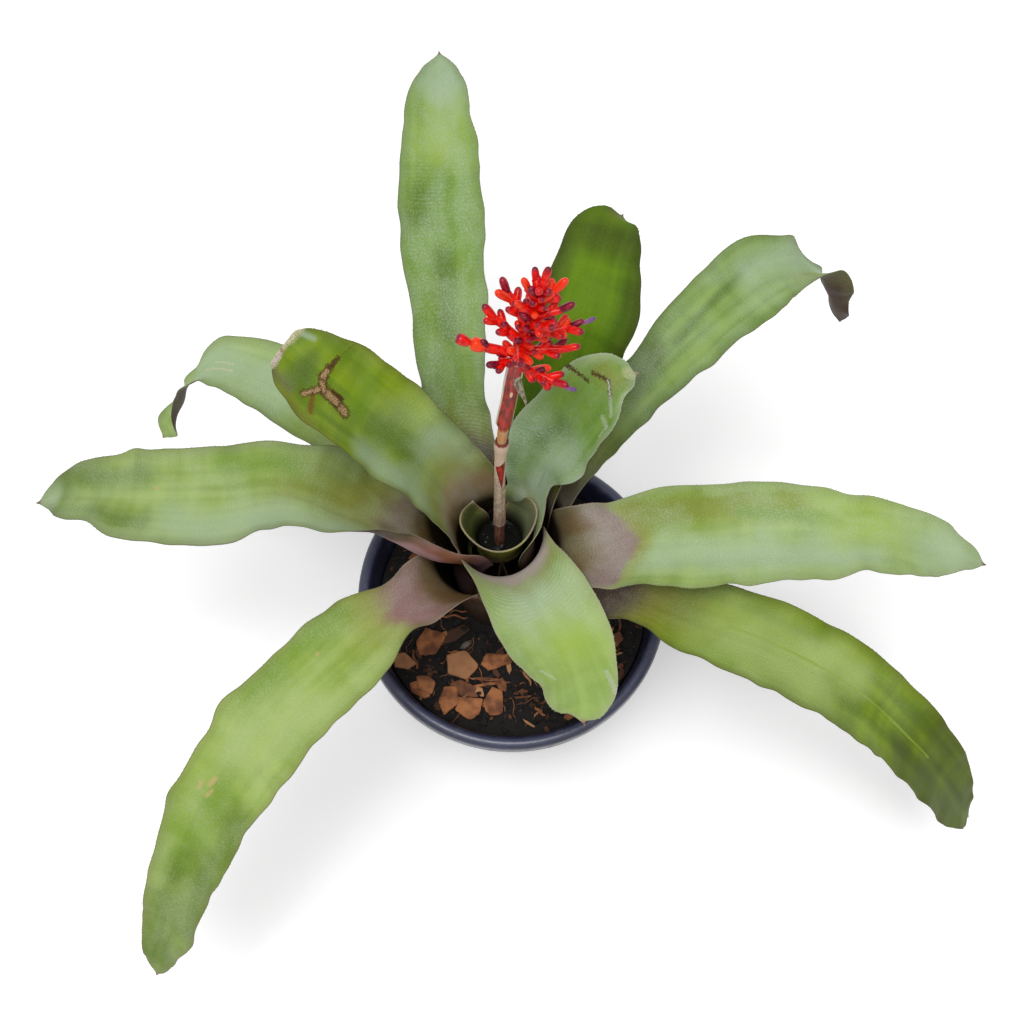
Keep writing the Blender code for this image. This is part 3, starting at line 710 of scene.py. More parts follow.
def make_leaf_skin():
    board, given, out = new_group("leaf skin", [
        ("Deep", "Color", srgb(110, 140, 40)), ("Light", "Color", srgb(165, 190, 95)),
        ("Scurf", "Color", srgb(176, 196, 160)), ("Stain", "Color", srgb(132, 112, 116)),
        ("Margin", "Color", srgb(96, 96, 60)),
        ("Scurf Amount", "Float", 0.6), ("Scurf Reach", "Float", 400.0),
        ("Stain Length", "Float", 40.0), ("Stain Fade", "Float", 14.0), ("Rows", "Float", 0.5),
        ("Seed", "Float", 1.0), ("Below", "Color", UNDER_OLIVE), ("Dusk", "Float", -4.0),
        ("Ruddy", "Float", 0.45)],
        [("Color", "Color"), ("Roughness", "Float"), ("Height", "Float")])
    blend, rise, fall = board.blend, board.rise, board.fall
    along, across, edge = board.field("along"), board.field("across"), board.field("edge")
    spot = board.vector(across, along, given["Seed"] * SEED_STRIDE)
    bowed = across * across

    def drift(scale, detail=1.0, shift=(0.0, 0.0, 0.0), roughness=0.5):
        return board.noise(board.stretch(spot, scale, shift), 1.0, detail, roughness)

    patches = drift((0.040, 0.016, 1.0), 1.5)
    bands = drift((0.17, 0.006, 1.0), shift=(3.0, 1.0, 2.0))
    steps = drift((0.022, 0.11, 1.0), shift=(1.0, 5.0, 4.0))
    clouds = drift((0.055, 0.030, 1.0), 2.0, (7.0, 3.0, 5.0))
    weave = drift((1.5, 1.15, 1.0), roughness=0.7)
    grit = drift((1.7, 1.7, 1.0), 2.0, roughness=0.7)
    sway = drift((0.05, 0.02, 1.0))

    # patches of green, and the stain with its olive border
    first, second, third = GREEN_MIX
    mixed = patches * first + bands * second + steps * third
    green = blend(rise(mixed, 0.37, 0.63), given["Deep"], given["Light"])
    border = along + bowed * STAIN_BOW + (clouds - 0.5) * STAIN_FRAY
    start, fade = given["Stain Length"], given["Stain Fade"]
    warm = fall(border, start + fade * 0.4, start + fade * 2.4)
    green = blend(warm * 0.6, green, STAIN_HALO)
    stain = fall(border, start, start + fade)
    bloom = rise(grit * 0.6 + clouds * 0.4, 0.42, 0.62)
    stained = blend(bloom * 0.6, given["Stain"], STAIN_BLOOM)
    # the foot of the stain turns olive brown, partly its own colour and partly painted shade
    stained = blend(fall(border, start - 30.0, start - 8.0) * 0.85, stained, FOOT_OLIVE_AND_SHADE)
    green = blend(stain * 0.94, green, stained)

    # scurf in bowed rows and as a thin veil
    near_base = fall(along, 10.0, 60.0)
    arch = bowed * (near_base * 0.014 + 0.003)
    phase = (along + sway * ROW_SWAY + arch) * (2 * math.pi / SCURF_PITCH)
    row = board.math("COSINE", phase) * 0.5
    ranks = near_base * 0.26 + rise(sway, 0.42, 0.66) * 0.13
    fleck = rise(row * (given["Rows"] * ranks) + weave, 0.42, 0.68)
    cloud = rise(clouds, 0.34, 0.66)
    reach = given["Scurf Reach"]
    dusted = given["Scurf Amount"] * (fall(along, reach, reach + 45.0) * 0.75 + 0.25)
    dusted = dusted * (1.0 - stain * 0.45)
    top = blend(dusted * (cloud * 0.28 + 0.04), green, given["Scurf"])
    top = blend(dusted * fleck * (cloud * 0.36 + 0.28), top, given["Scurf"])
    tone = grit * 0.22 + 0.89
    top = blend(1.0, top, board.vector(tone, tone, tone), "MULTIPLY")

    # a broad shade and a thin line along the margin
    top = blend(fall(edge, 0.0, bands * 12.0 + 1.0) * 0.34, top, given["Margin"])
    pale = fall(along + grit * 30.0, 34.0, 66.0)
    margin = blend(pale, given["Margin"], PALE_MARGIN)
    top = blend(fall(edge, 0.1, 0.9) * (pale * 0.25 + 0.45), top, margin)

    # the underside, the wet brown and painted shade deep between the sheaths, and the dry tip
    below = blend(rise(clouds, 0.35, 0.65), given["Below"], UNDER_PURPLE)
    below = blend(fleck * 0.35, below, UNDER_SILVER)
    ruddy = blend(rise(clouds, 0.40, 0.62), UNDER_MAUVE, UNDER_RUST)
    below = blend(stain * given["Ruddy"], below, ruddy)
    to_tip, dusk = board.field("to_tip"), given["Dusk"]
    below = blend(fall(to_tip, 20.0, 70.0) * 0.75, below, UNDER_PURPLE)
    # deep between the sheaths both faces darken to wet brown, partly their own colour and partly painted
    # shade
    below = blend(fall(along, dusk - 30.0, dusk) * 0.88, below, WET_BROWN_AND_SHADE)
    top = blend(fall(along, dusk - 13.0, dusk) * 0.95, top, WET_BROWN_AND_SHADE)
    colour = blend(board.field("upper"), below, top)
    colour = blend(fall(to_tip - grit * 4.0, 0.0, 4.0), colour, TIP_BROWN)
    for name, value in (("Color", colour), ("Roughness", fleck * 0.12 + 0.44),
                        ("Height", fleck * 0.5 + grit)):
        board.put(out[name], value)
    return board.tree


leaf_skin = make_leaf_skin()
print("leaf skin nodes:", len(leaf_skin.nodes))

# %% [markdown]
# ## Tints and marks
#
# A leaf is not one green all over. It has sunny yellow-green parts, deep green stripes, silvery
# ends and dark margins, each in its own place. Old leaves also carry scars: one has a corky Y
# where something gnawed it, another a slit and a scuffed arc, and a few have tan spots. A tint
# and a mark are both strokes between two places on the leaf, across and along it in
# millimetres. One node group measures how far a point is from such a stroke.

# %% Stroke group
def make_stroke():
    board, given, out = new_group("stroke", [
        ("Spot", "Vector", (0.0, 0.0, 0.0)), ("Start", "Vector", (0.0, 0.0, 0.0)),
        ("End", "Vector", (0.0, 1.0, 0.0))], [("Distance", "Float")])
    offset = board.vector_math("SUBTRACT", given["Spot"], given["Start"])
    line = board.vector_math("SUBTRACT", given["End"], given["Start"])
    reach = board.vector_math("DOT_PRODUCT", offset, line, output="Value")
    whole = board.vector_math("DOT_PRODUCT", line, line, output="Value") + 0.001
    share = board.wire("ShaderNodeMath", reach, whole, operation="DIVIDE", use_clamp=True)
    foot = board.vector_math("MULTIPLY", line, board.vector(share, share, share))
    gap = board.vector_math("SUBTRACT", offset, foot)
    board.put(out["Distance"], board.vector_math("LENGTH", gap, output="Value"))
    return board.tree


stroke = make_stroke()
print("stroke nodes:", len(stroke.nodes))

# %% [markdown]
# ## Each leaf's own finish
#
# The leaves share one skin but not one colour. The young inner leaves are a deep, almost clean
# green, the long outer ones are paler and well dusted, and the stain at the base is longest
# where the sheath shows. Tints change the greens under the scurf, and marks lie on top of it.

# %% Leaf finishes
# deep, light, scurf, stain and margin colours, then amount and reach of the scurf, length and
# fade of the stain, and how much the scurf keeps to rows
SKINS = {
    "leaf_back": ((112, 146, 44), (146, 178, 82), (184, 204, 172), (124, 108, 98), (112, 124, 92),
                  0.85, 400, 8, 20, 1.0),
    "leaf_back_inner": ((74, 110, 4), (106, 142, 14), (128, 146, 92), (88, 80, 40), (56, 64, 26),
                        0.15, 400, 4, 20, 0.3),
    "leaf_back_right": ((112, 144, 50), (150, 180, 92), (182, 202, 170), (88, 84, 48), (96, 104, 72),
                        0.8, 400, 10, 24, 1.0),
    "leaf_right": ((136, 164, 60), (166, 192, 98), (190, 210, 172), (146, 118, 120), (136, 146, 108),
                   0.75, 400, 42, 8, 0.25),
    "leaf_front_right": ((94, 120, 0), (128, 154, 14), (168, 188, 130), (92, 80, 70), (76, 76, 34),
                         0.4, 220, 40, 30, 0.3),
    "leaf_front": ((140, 170, 76), (164, 192, 102), (192, 206, 180), (190, 172, 170), (172, 170, 142),
                   0.8, 40, 12, 12, 1.4),
    "leaf_front_left": ((138, 166, 58), (170, 194, 98), (190, 206, 162), (156, 112, 116),
                        (108, 108, 66), 0.5, 400, 40, 22, 0.4),
    "leaf_left": ((134, 160, 66), (166, 190, 104), (186, 204, 166), (112, 94, 68), (104, 104, 86),
                  0.6, 400, 26, 24, 0.5),
    "leaf_back_left": ((140, 168, 76), (170, 196, 112), (186, 204, 166), (110, 98, 62),
                       (104, 114, 74), 0.6, 400, 20, 30, 0.4),
    "leaf_upper_left": ((102, 132, 2), (144, 170, 24), (180, 200, 166), (166, 136, 96), (96, 88, 50),
                        0.7, 70, 16, 24, 0.6),
    "leaf_inner_right": ((110, 148, 44), (148, 180, 88), (194, 214, 200), (150, 156, 136),
                         (190, 198, 180), 1.0, 60, 0, 12, 0.6),
    "heart_leaf": ((62, 70, 16), (96, 104, 40), (160, 168, 130), (74, 64, 32), (150, 132, 92),
                   0.3, 400, -14, 8, 0.3),
}
print("skins:", len(SKINS))

# %% Tints
VIVID = srgb(108, 146, 0)
SUNNY = srgb(160, 188, 66)
DEEP = srgb(80, 108, 0)
DARK = srgb(58, 70, 10)
MIDRIB = srgb(142, 166, 56)
PALE = srgb(172, 194, 112)
SILVER = srgb(168, 190, 156)
OLIVE = srgb(126, 134, 22)
BROWN = srgb(104, 84, 54)
DUSKY = srgb(96, 92, 80)
# pale grey painted as light on one side of the heart's cup wall
HEART_PAINTED_LIGHT = srgb(120, 132, 104)
# start and end across and along the leaf, width of the soft stroke, colour
TINTS = {
    "leaf_back": (
        ((14, 92), (15, 142), 11, VIVID), ((-13, 95), (-15, 160), 12, VIVID),
        ((0, 84), (0, 130), 7, DEEP), ((16, 152), (14, 166), 8, DEEP),
        ((0, 198), (0, 222), 16, SUNNY), ((0, 250), (0, 283), 18, SILVER)),
    "leaf_back_inner": (
        ((-24, 160), (24, 158), 11, DARK), ((28, 100), (24, 150), 8, DARK),
        ((-28, 100), (-24, 150), 8, DARK), ((2, 176), (0, 182), 5, BROWN)),
    "leaf_back_right": (
        ((6, 78), (8, 102), 9, DARK), ((4, 116), (10, 180), 2.5, DEEP),
        ((-8, 204), (-10, 222), 7, OLIVE), ((8, 178), (6, 240), 9, SILVER)),
    "leaf_right": (
        ((22, 46), (-6, 50), 6, OLIVE), ((18, 56), (17, 140), 9, OLIVE),
        ((14, 110), (9, 165), 4, VIVID), ((-10, 64), (-12, 185), 13, SILVER),
        ((6, 172), (4, 204), 14, SUNNY), ((0, 225), (0, 280), 18, SILVER)),
    "leaf_front_right": (
        ((6, 40), (8, 84), 14, DARK), ((-18, 76), (-18, 110), 8, VIVID),
        ((-6, 112), (-6, 166), 24, PALE), ((12, 168), (8, 196), 10, PALE),
        ((10, 280), (6, 380), 24, DARK), ((-16, 258), (-14, 320), 12, DARK),
        ((2, 110), (1, 280), 0.7, MIDRIB)),
    "leaf_front": (((0, 52), (2, 70), 16, SUNNY), ((0, 26), (0, 34), 20, SILVER)),
    "leaf_front_left": (
        ((-19, 70), (-21, 140), 7, VIVID), ((0, 196), (2, 250), 18, VIVID),
        ((16, 200), (13, 290), 11, DEEP), ((0, 268), (0, 345), 18, DEEP),
        ((-8, 16), (-12, 44), 13, BROWN), ((10, 120), (-4, 165), 14, PALE)),
    "leaf_left": (
        ((-4, 52), (-6, 92), 14, OLIVE), ((-16, 96), (-18, 130), 8, VIVID),
        ((-13, 182), (-10, 240), 9, DEEP), ((16, 176), (10, 248), 9, DEEP),
        ((2, 252), (0, 270), 7, SILVER), ((19, 60), (17, 160), 12, SILVER),
        ((20, 42), (18, 60), 7, SILVER)),
    "leaf_back_left": (((4, 110), (0, 165), 14, SILVER),),
    "leaf_upper_left": (
        ((2, 64), (0, 84), 15, DEEP), ((-4, 154), (10, 158), 5, DEEP),
        ((20, 44), (23, 98), 9, SILVER), ((28, 140), (14, 168), 5, OLIVE),
        ((-20, 34), (-14, 60), 12, SILVER), ((12, 150), (2, 152), 5, DEEP),
        ((16, 156), (15, 168), 4, DUSKY), ((-15, 160), (-13, 166), 1.5, SILVER),
        ((2, 112), (-14, 118), 7, VIVID)),
    "leaf_inner_right": (
        ((6, 90), (2, 108), 14, VIVID), ((6, 128), (-4, 132), 6, OLIVE),
        ((4, 8), (-10, 70), 12, SILVER), ((10, 66), (4, 84), 8, DEEP),
        ((10, 0), (-12, 30), 14, SILVER)),
    # the heart's cup wall is painted pale grey on one side and dark on the other, as painted light and
    # shade
    "heart_leaf": (
        ((30, -10), (30, 20), 14, HEART_PAINTED_LIGHT), ((-30, -10), (-34, 20), 12, DARK)),
}
print("tints:", sum(len(strokes) for strokes in TINTS.values()))

# %% Marks
CORK = srgb(200, 164, 122)
CORK_RIM = srgb(78, 48, 20)
TAN = srgb(206, 178, 124)
SCUFF = srgb(206, 212, 200)
CREAM = srgb(222, 212, 178)
SLIT = srgb(84, 62, 34)
PINK = srgb(182, 138, 124)
RUST = srgb(124, 66, 34)
BLOB = srgb(226, 208, 202)
# strengths of the middle and of the rim of a mark, and how ragged it is
SCAR = (0.92, 0.85, 2.8)
FAINT = (0.5, 0.0, 1.6)
SPOT = (0.7, 0.3, 1.0)
RUSTY = (0.7, 0.45, 1.6)
SOFT = (1.0, 0.0, 1.2)
# start and end across and along the leaf, width, kind, colour, rim colour
MARKS = {
    "leaf_upper_left": (
        ((8, 143), (20, 140), 1.2, RUSTY, RUST, RUST),
        ((7.5, 121), (5, 129), 2.5, SCAR, CORK, CORK_RIM),
        ((5, 129), (4, 138), 2.7, SCAR, CORK, CORK_RIM),
        ((1.6, 126), (1.4, 133), 0.9, SCAR, CORK_RIM, CORK_RIM),
        ((4, 139), (-2, 142.5), 2.0, SCAR, CORK, CORK_RIM),
        ((-2, 142.5), (-8, 142.4), 1.8, SCAR, CORK, CORK_RIM),
        ((-8, 142.4), (-15, 142), 1.1, SCAR, SLIT, CORK_RIM),
        ((5, 141), (13, 147), 1.4, SCAR, CORK, CORK_RIM),
        ((-15, 142), (-26, 139.5), 0.5, FAINT, SLIT, SLIT),
        ((-15, 172), (-7, 172), 6.0, SOFT, CREAM, CREAM),
        ((-7, 172), (3, 172), 4.4, SOFT, CREAM, CREAM),
        ((2, 169.6), (4, 169.6), 0.9, RUSTY, PINK, RUST),
        ((6, 171), (11, 171), 4.4, SOFT, BLOB, BLOB)),
    "leaf_inner_right": (
        ((22, 117), (8, 118), 0.6, SCAR, SLIT, SLIT), ((9, 123), (1, 127), 0.7, SCAR, SLIT, SLIT),
        ((1, 127), (-8, 123), 0.8, SCAR, SCUFF, SLIT),
        ((-8, 123), (-15, 118), 1.6, FAINT, SCUFF, SCUFF),
        ((-12, 112), (-18, 112), 2.2, FAINT, SCUFF, SCUFF),
        ((-18, 112), (-20, 104), 1.2, FAINT, SCUFF, SCUFF),
        ((0, 138), (0, 147), 3.4, FAINT, CREAM, CREAM)),
    "leaf_front_left": (
        ((-11, 97), (-11, 97.5), 0.9, SPOT, TAN, CORK), ((-15, 194), (-14, 198), 1.0, SPOT, TAN, TAN),
        ((-9, 188), (-10, 193), 1.3, SPOT, TAN, TAN), ((-7, 195), (-8, 200), 0.9, SPOT, TAN, TAN)),
    "leaf_left": (((-6, 170), (-6, 170.5), 0.9, SPOT, TAN, CORK),),
    "leaf_back_left": (
        ((4, 144), (2, 164), 0.7, FAINT, CREAM, CREAM), ((0, 146), (-1, 158), 0.6, FAINT, CREAM, CREAM)),
    "leaf_front": (
        ((-15, 84), (-21, 74), 1.0, FAINT, SCUFF, SCUFF),
        ((17, 92), (17, 104), 1.8, FAINT, SCUFF, SCUFF),
        ((0, 119), (0, 122), 2.0, FAINT, PINK, PINK)),
}
print("marks:", sum(len(strokes) for strokes in MARKS.values()))

# %% One leaf's finish
LEAF_GLOSS = 0.14
LEAF_BUMPS = 0.25
# what only these leaves set in the skin
# the heart leaf's Dusk of 15 darkens most of the inside of its cup to wet brown, partly its own colour and
# partly painted shade
OWN_SKIN = {"heart_leaf": {"Below": srgb(126, 132, 34), "Dusk": 15.0}, "leaf_left": {"Ruddy": 0.85}}


def leaf_finish(name, seed):
    *paints, amount, reach, length, fade, rows = SKINS[name]
    deep, light, scurf, stain, margin = (srgb(*paint) for paint in paints)
    material, board, shader = new_finish(name + " skin", LEAF_GLOSS)
    spot = board.vector(board.field("across"), board.field("along"))
    drift = board.noise(spot, 0.035, 1.5) - 0.5
    fray = board.noise(spot, 0.7, 3.0, 0.7) - 0.5
    grains = board.noise(spot, 1.6, 2.0, 0.7)
    woven = board.rise(grains, 0.30, 0.66) * 0.45 + 0.55
    flaky = board.rise(grains, 0.38, 0.54)

    def away(start, end, noise, ragged, width):
        """How many widths a place is away from a stroke, with the noise's ragged border."""
        distance = board.place(stroke, Spot=spot, Start=(*start, 0.0), End=(*end, 0.0))["Distance"]
        return (noise * ragged + distance) / width

    for start, end, width, paint in TINTS.get(name, ()):
        soft = board.fall(away(start, end, drift, 2.0 * width, width), -0.1, 1.8) * woven
        deep = board.blend(soft, deep, paint)
        light = board.blend(soft * 0.85, light, paint)
    skin = board.place(leaf_skin, Deep=deep, Light=light, Scurf=scurf, Stain=stain, Margin=margin,
                       Scurf_Amount=amount, Scurf_Reach=float(reach), Stain_Length=float(length),
                       Stain_Fade=float(fade), Rows=rows, Seed=float(seed), **OWN_SKIN.get(name, {}))
    colour = skin["Color"]
    for start, end, width, (middle, outer, ragged), paint, rim in MARKS.get(name, ()):
        distance = away(start, end, fray, 2.0 * ragged, width)
        colour = board.blend(board.fall(distance, 1.0, 1.9) * outer, colour, rim)
        colour = board.blend(board.fall(distance, 0.5, 1.1) * (flaky * middle), colour, paint)
    dress_shader(board, shader, colour, skin["Roughness"], skin["Height"], LEAF_BUMPS)
    return material

# %% [markdown]
# ## Growing the leaves
#
# Each leaf is one closed mesh with its spines. Short tables hold what differs from leaf to
# leaf: where a margin swells or draws in, where the blade rolls over, and how blunt its end is.
# Most tips are drawn out into a dry point, but one leaf ends in an old cut.

# %% How the leaves differ
# side (1 left, -1 right, looking out along the leaf), distance along, spread, outward push
SWELLS = {
    "leaf_upper_left": ((1, 8, 24, -5.0),),
    "heart_leaf": ((-1, 24, 18, -7.5), (1, 24, 18, -2.0)),
    "leaf_inner_right": (
        (1, -8, 26, -20.0), (-1, 28, 27, -10.5), (-1, 44, 22, -7.0), (-1, 132, 7, -6.0),
        (-1, 116, 7, 2.0), (1, 70, 12, 1.5)),
    "leaf_back": (
        (1, 157, 16, 2.3), (1, 98, 16, -2.0), (-1, 155, 14, 1.8), (-1, 222, 22, -2.4),
        (-1, 100, 9, 1.6), (-1, 45, 20, -1.6), (-1, 185, 10, -1.0)),
    "leaf_back_inner": (
        (-1, 120, 15, 6.5), (-1, 148, 8, -2.5), (-1, 166, 9, -3.0), (1, 138, 13, -2.5),
        (1, 168, 9, 3.0)),
    "leaf_back_right": (
        (-1, 50, 14, 3.0), (-1, 100, 10, 1.8), (1, 88, 18, -3.6), (1, 181, 13, 3.4),
        (1, 210, 11, 6.5), (-1, 207, 14, -4.0), (-1, 246, 14, 5.0)),
    "leaf_front": ((-1, 58, 8, 3.0), (-1, 82, 10, -4.5), (-1, -4, 12, 12.0), (1, -2, 10, 6.0)),
    "leaf_right": (
        (1, 38, 16, -4.5), (-1, 107, 9, 2.6), (-1, 177, 12, -3.6), (-1, 226, 13, 3.0),
        (1, 128, 14, 2.0), (1, 172, 11, -2.2), (1, 243, 13, 2.8)),
    "leaf_front_right": (
        (-1, 62, 20, -6.5), (-1, 105, 7, -1.5), (-1, 136, 9, 2.0), (-1, 240, 8, -3.0),
        (-1, 325, 20, 4.0)),
    "leaf_front_left": (
        (1, 52, 18, -7.0), (-1, 40, 16, -6.0), (-1, 90, 9, 1.8), (-1, 152, 10, 4.0),
        (-1, 209, 8, 2.6), (-1, 245, 13, -2.4), (1, 105, 8, 1.8), (1, 206, 13, -2.4),
        (1, 262, 12, -2.2), (1, 300, 14, 3.2)),
    "leaf_left": (
        (1, 90, 24, -7.0), (1, 142, 18, 4.0), (-1, 66, 34, 8.0), (-1, 90, 8, -2.2),
        (-1, 135, 10, 1.6), (-1, 188, 11, 2.2), (-1, 238, 12, 2.6), (1, 105, 8, 1.6),
        (1, 214, 15, -7.5)),
    "leaf_back_left": ((1, 112, 30, 6.5), (1, 152, 18, 4.5), (-1, 153, 6, 1.5), (-1, 172, 13, -3.4)),
}
# start and end along the leaf, and how many degrees its upper face turns towards the left
ROLLS = {
    "leaf_left": ((-20, 30, -48.0), (36, 100, 48.0)),
    "leaf_back_right": ((200, 240, 60.0),),
    "leaf_back_left": ((152, 190, -50.0), (208, 240, 78.0)),
}
BLUNT = {
    "leaf_upper_left": 0.0, "leaf_back": 0.0, "leaf_back_inner": 1.0, "leaf_right": 1.2,
    "leaf_front_left": 1.4, "leaf_left": 1.4, "leaf_back_left": 1.0, "leaf_back_right": 1.0}

# %% Leaves
CUP = "heart_leaf"
UNPOINTED = (CUP, "leaf_upper_left")
TIP_POINT = 4.0
# added to an unpointed leaf's distance from its tip, so that its end doesn't turn brown
PAST_THE_TIP = 200.0


def pointed(blade):
    """The blade's stations with a last one that draws the tip out into a point."""
    last, before = blade[-1], blade[-2]
    step = [a - b for a, b in zip(last, before)]
    length = math.hypot(step[0], step[2])
    share = TIP_POINT / length
    end = (last[0] + step[0] * share, last[1], last[2] + step[2] * share, 0.3, 10)
    return blade[:-1] + [(*last[:3], 1.5, 10), end]


def grow_leaf(name, seed):
    *sheath, blade = LEAVES[name]
    rows = leaf_rows(*sheath, blade if name in UNPOINTED else pointed(blade))
    upper, lower, measures, margins = leaf_sheet(
        rows, seed, SWELLS.get(name, ()), 0.0 if name == CUP else 1.0, name == CUP,
        ROLLS.get(name, ()), BLUNT.get(name, BLUNTNESS))
    if name in UNPOINTED:
        measures["to_tip"] = measures["to_tip"] + PAST_THE_TIP
    heap = Heap()
    both = {label: np.tile(values.ravel(), 2) for label, values in measures.items()}
    face = np.repeat((1.0, 0.0), upper.size // 3)
    heap.add(np.concatenate([upper.reshape(-1, 3), lower.reshape(-1, 3)]),
             sheet_faces(*upper.shape[:2]), upper=face, **both)
    if name != CUP:
        for side, margin in enumerate(margins):
            add_spines(heap, margin, 10 * seed + side)
    return stand_for(heap.build(name + "_blade", leaf_finish(name, seed)), "leaf_green", name)


leaves = [grow_leaf(name, seed + 1) for seed, name in enumerate(LEAVES)]
print("leaf faces:", sum(len(leaf.data.polygons) for leaf in leaves))

# %% [markdown]
# ## Shared grain
#
# The pot, the bark, the bracts and the stem all show the same kind of thing: two tones that
# drift into each other, stretched one way or not at all. One group makes that drift from any
# coordinates, and each finish gives it its own tones and scale.

# %% Grain group
def make_grain():
    board, given, out = new_group("grain", [
        ("Vector", "Vector", (0.0, 0.0, 0.0)), ("First", "Color", srgb(80, 80, 80)),
        ("Second", "Color", srgb(120, 120, 120)), ("Scale", "Float", 1.0),
        ("Low", "Float", 0.35), ("High", "Float", 0.65), ("Detail", "Float", 3.0)],
        [("Color", "Color"), ("Mask", "Float"), ("Height", "Float")])
    noise = board.noise(given["Vector"], given["Scale"], given["Detail"], 0.6)
    mask = board.rise(noise, given["Low"], given["High"])
    board.put(out["Color"], board.blend(mask, given["First"], given["Second"]))
    board.put(out["Mask"], mask)
    board.put(out["Height"], noise)
    return board.tree


grain = make_grain()
print("grain nodes:", len(grain.nodes))


def place_in_mm(board, *stretch):
    """The piece's own coordinates in millimetres, stretched."""
    spot = board.wire("ShaderNodeTexCoord", output="Object")
    return board.stretch(spot, tuple(value / MM for value in stretch or (1.0, 1.0, 1.0)))


def two_tone(board, spot, first, second, scale, low=0.35, high=0.65, detail=3.0):
    """The grain between two colours written from 0 to 255."""
    return board.place(grain, Vector=spot, First=srgb(*first), Second=srgb(*second),
                       Scale=scale, Low=low, High=high, Detail=detail)


def flecks(board, spot, scale, low, high, detail=3.0):
    """The grain's mask alone, for specks, scars and dust."""
    return board.place(grain, Vector=spot, Scale=scale, Low=low, High=high, Detail=detail)["Mask"]

# %% [markdown]
# ## The pot
#
# The pot is a thin injection-moulded shell: a tapering wall, a flat floor with drain holes, and
# a rolled rim over a short skirt. It is turned from one profile that runs from the middle of
# the underside up the outside, over the rim and down the inside. The plastic is dark navy, with
# a painted highlight along the top of the roll, and faintly ringed by its mould.

# %% Turned solids
def turned(profile, steps):
    """Points and faces of a solid turned from a profile that starts and ends on the axis."""
    angles = 2 * np.pi * np.arange(steps) / steps
    rings = [np.stack([radius * np.cos(angles), radius * np.sin(angles), 0 * angles + height], -1)
             for radius, height in profile[1:-1]]
    points = np.concatenate([[(0.0, 0.0, profile[0][1])], *rings, [(0.0, 0.0, profile[-1][1])]])
    near = np.arange(steps)
    onward = np.roll(near, -1)
    faces = [(0, 1 + b, 1 + a) for a, b in zip(near, onward)]
    for ring in range(len(rings) - 1):
        first = 1 + ring * steps
        faces += [(first + a, first + b, first + steps + b, first + steps + a)
                  for a, b in zip(near, onward)]
    first = 1 + (len(rings) - 1) * steps
    faces += [(first + a, first + b, len(points) - 1) for a, b in zip(near, onward)]
    return points, faces


def arc(centre, radius, start, end, count):
    """Points of a circular arc in a profile, with its angles in degrees."""
    angles = np.radians(np.linspace(start, end, count))
    return [(centre[0] + radius * math.cos(a), centre[1] + radius * math.sin(a)) for a in angles]


def cut(piece, cutter):
    """Cut a closed mesh out of a piece and drop the cutter."""
    boolean = piece.modifiers.new("cut", "BOOLEAN")
    boolean.operation = "DIFFERENCE"
    boolean.solver = "EXACT"
    boolean.object = cutter
    graph = bpy.context.evaluated_depsgraph_get()
    mesh = bpy.data.meshes.new_from_object(piece.evaluated_get(graph))
    piece.modifiers.clear()
    piece.data = mesh
    bpy.data.objects.remove(cutter)

# %% Nursery pot
RIM_RADIUS = 100.0
POT_HEIGHT = 150.0
BASE_RADIUS = 76.0
POT_WALL = 1.8
LIP_DEPTH = 13.0
LIP_WIDTH = 8.5
POT_FLOOR = 2.5
FOOT_ROUND = 2.0
DRAIN_HOLES = 6
DRAIN_RADIUS = 5.0
DRAIN_CIRCLE = 52.0
DRAIN_REACH = (-5.0, 8.0)
DRAIN_STEPS = 24
POT_STEPS = 144
POT_RINGS = 5
RING_HEIGHT = 0.35
RING_SLOPE = 1.0
SKIRT_ROUND = 0.9


def pot_profile():
    roll = LIP_WIDTH / 2
    inner_rim = RIM_RADIUS - LIP_WIDTH
    top = POT_HEIGHT - roll
    points = [(0.0, 0.0)] + arc((BASE_RADIUS - FOOT_ROUND, FOOT_ROUND), FOOT_ROUND, -90, 0, 5)
    for index in range(1, POT_RINGS + 1):
        height = top * index / (POT_RINGS + 1)
        radius = BASE_RADIUS + (inner_rim + POT_WALL - BASE_RADIUS) * height / top
        points += [(radius, height - RING_SLOPE), (radius + RING_HEIGHT, height),
                   (radius, height + RING_SLOPE)]
    points += [(inner_rim + POT_WALL, top), (RIM_RADIUS - POT_WALL, top),
               (RIM_RADIUS - POT_WALL, POT_HEIGHT - LIP_DEPTH)]
    points += arc((RIM_RADIUS - SKIRT_ROUND, POT_HEIGHT - LIP_DEPTH + SKIRT_ROUND), SKIRT_ROUND, -90, 0, 4)
    points += arc((RIM_RADIUS - roll, top), roll, 0, 180, 15)
    points += [(BASE_RADIUS - POT_WALL, POT_FLOOR), (0.0, POT_FLOOR)]
    return points


def pot_finish():
    material, board, shader = new_finish("navy pot plastic")
    spot = place_in_mm(board)
    broad = two_tone(board, spot, (27, 30, 52), (42, 46, 72), 0.03, 0.3, 0.7)
    fine = two_tone(board, spot, (24, 26, 44), (64, 68, 94), 0.9, 0.55, 0.78)
    dust = flecks(board, spot, 0.12, 0.5, 0.75)
    height = board.wire("ShaderNodeSeparateXYZ", spot, output="Z")
    # the top of the roll is painted lighter, as a painted highlight
    rim_highlight = board.rise(height, POT_HEIGHT - 1.4, POT_HEIGHT)
    colour = board.blend(fine["Mask"] * 0.35, broad["Color"], fine["Color"])
    colour = board.blend(rim_highlight * 0.4, colour, srgb(96, 101, 126))
    colour = board.blend(dust * 0.12, colour, srgb(120, 112, 104))
    dress_shader(board, shader, colour, dust * 0.2 + 0.32, fine["Height"], 0.08)
    return material


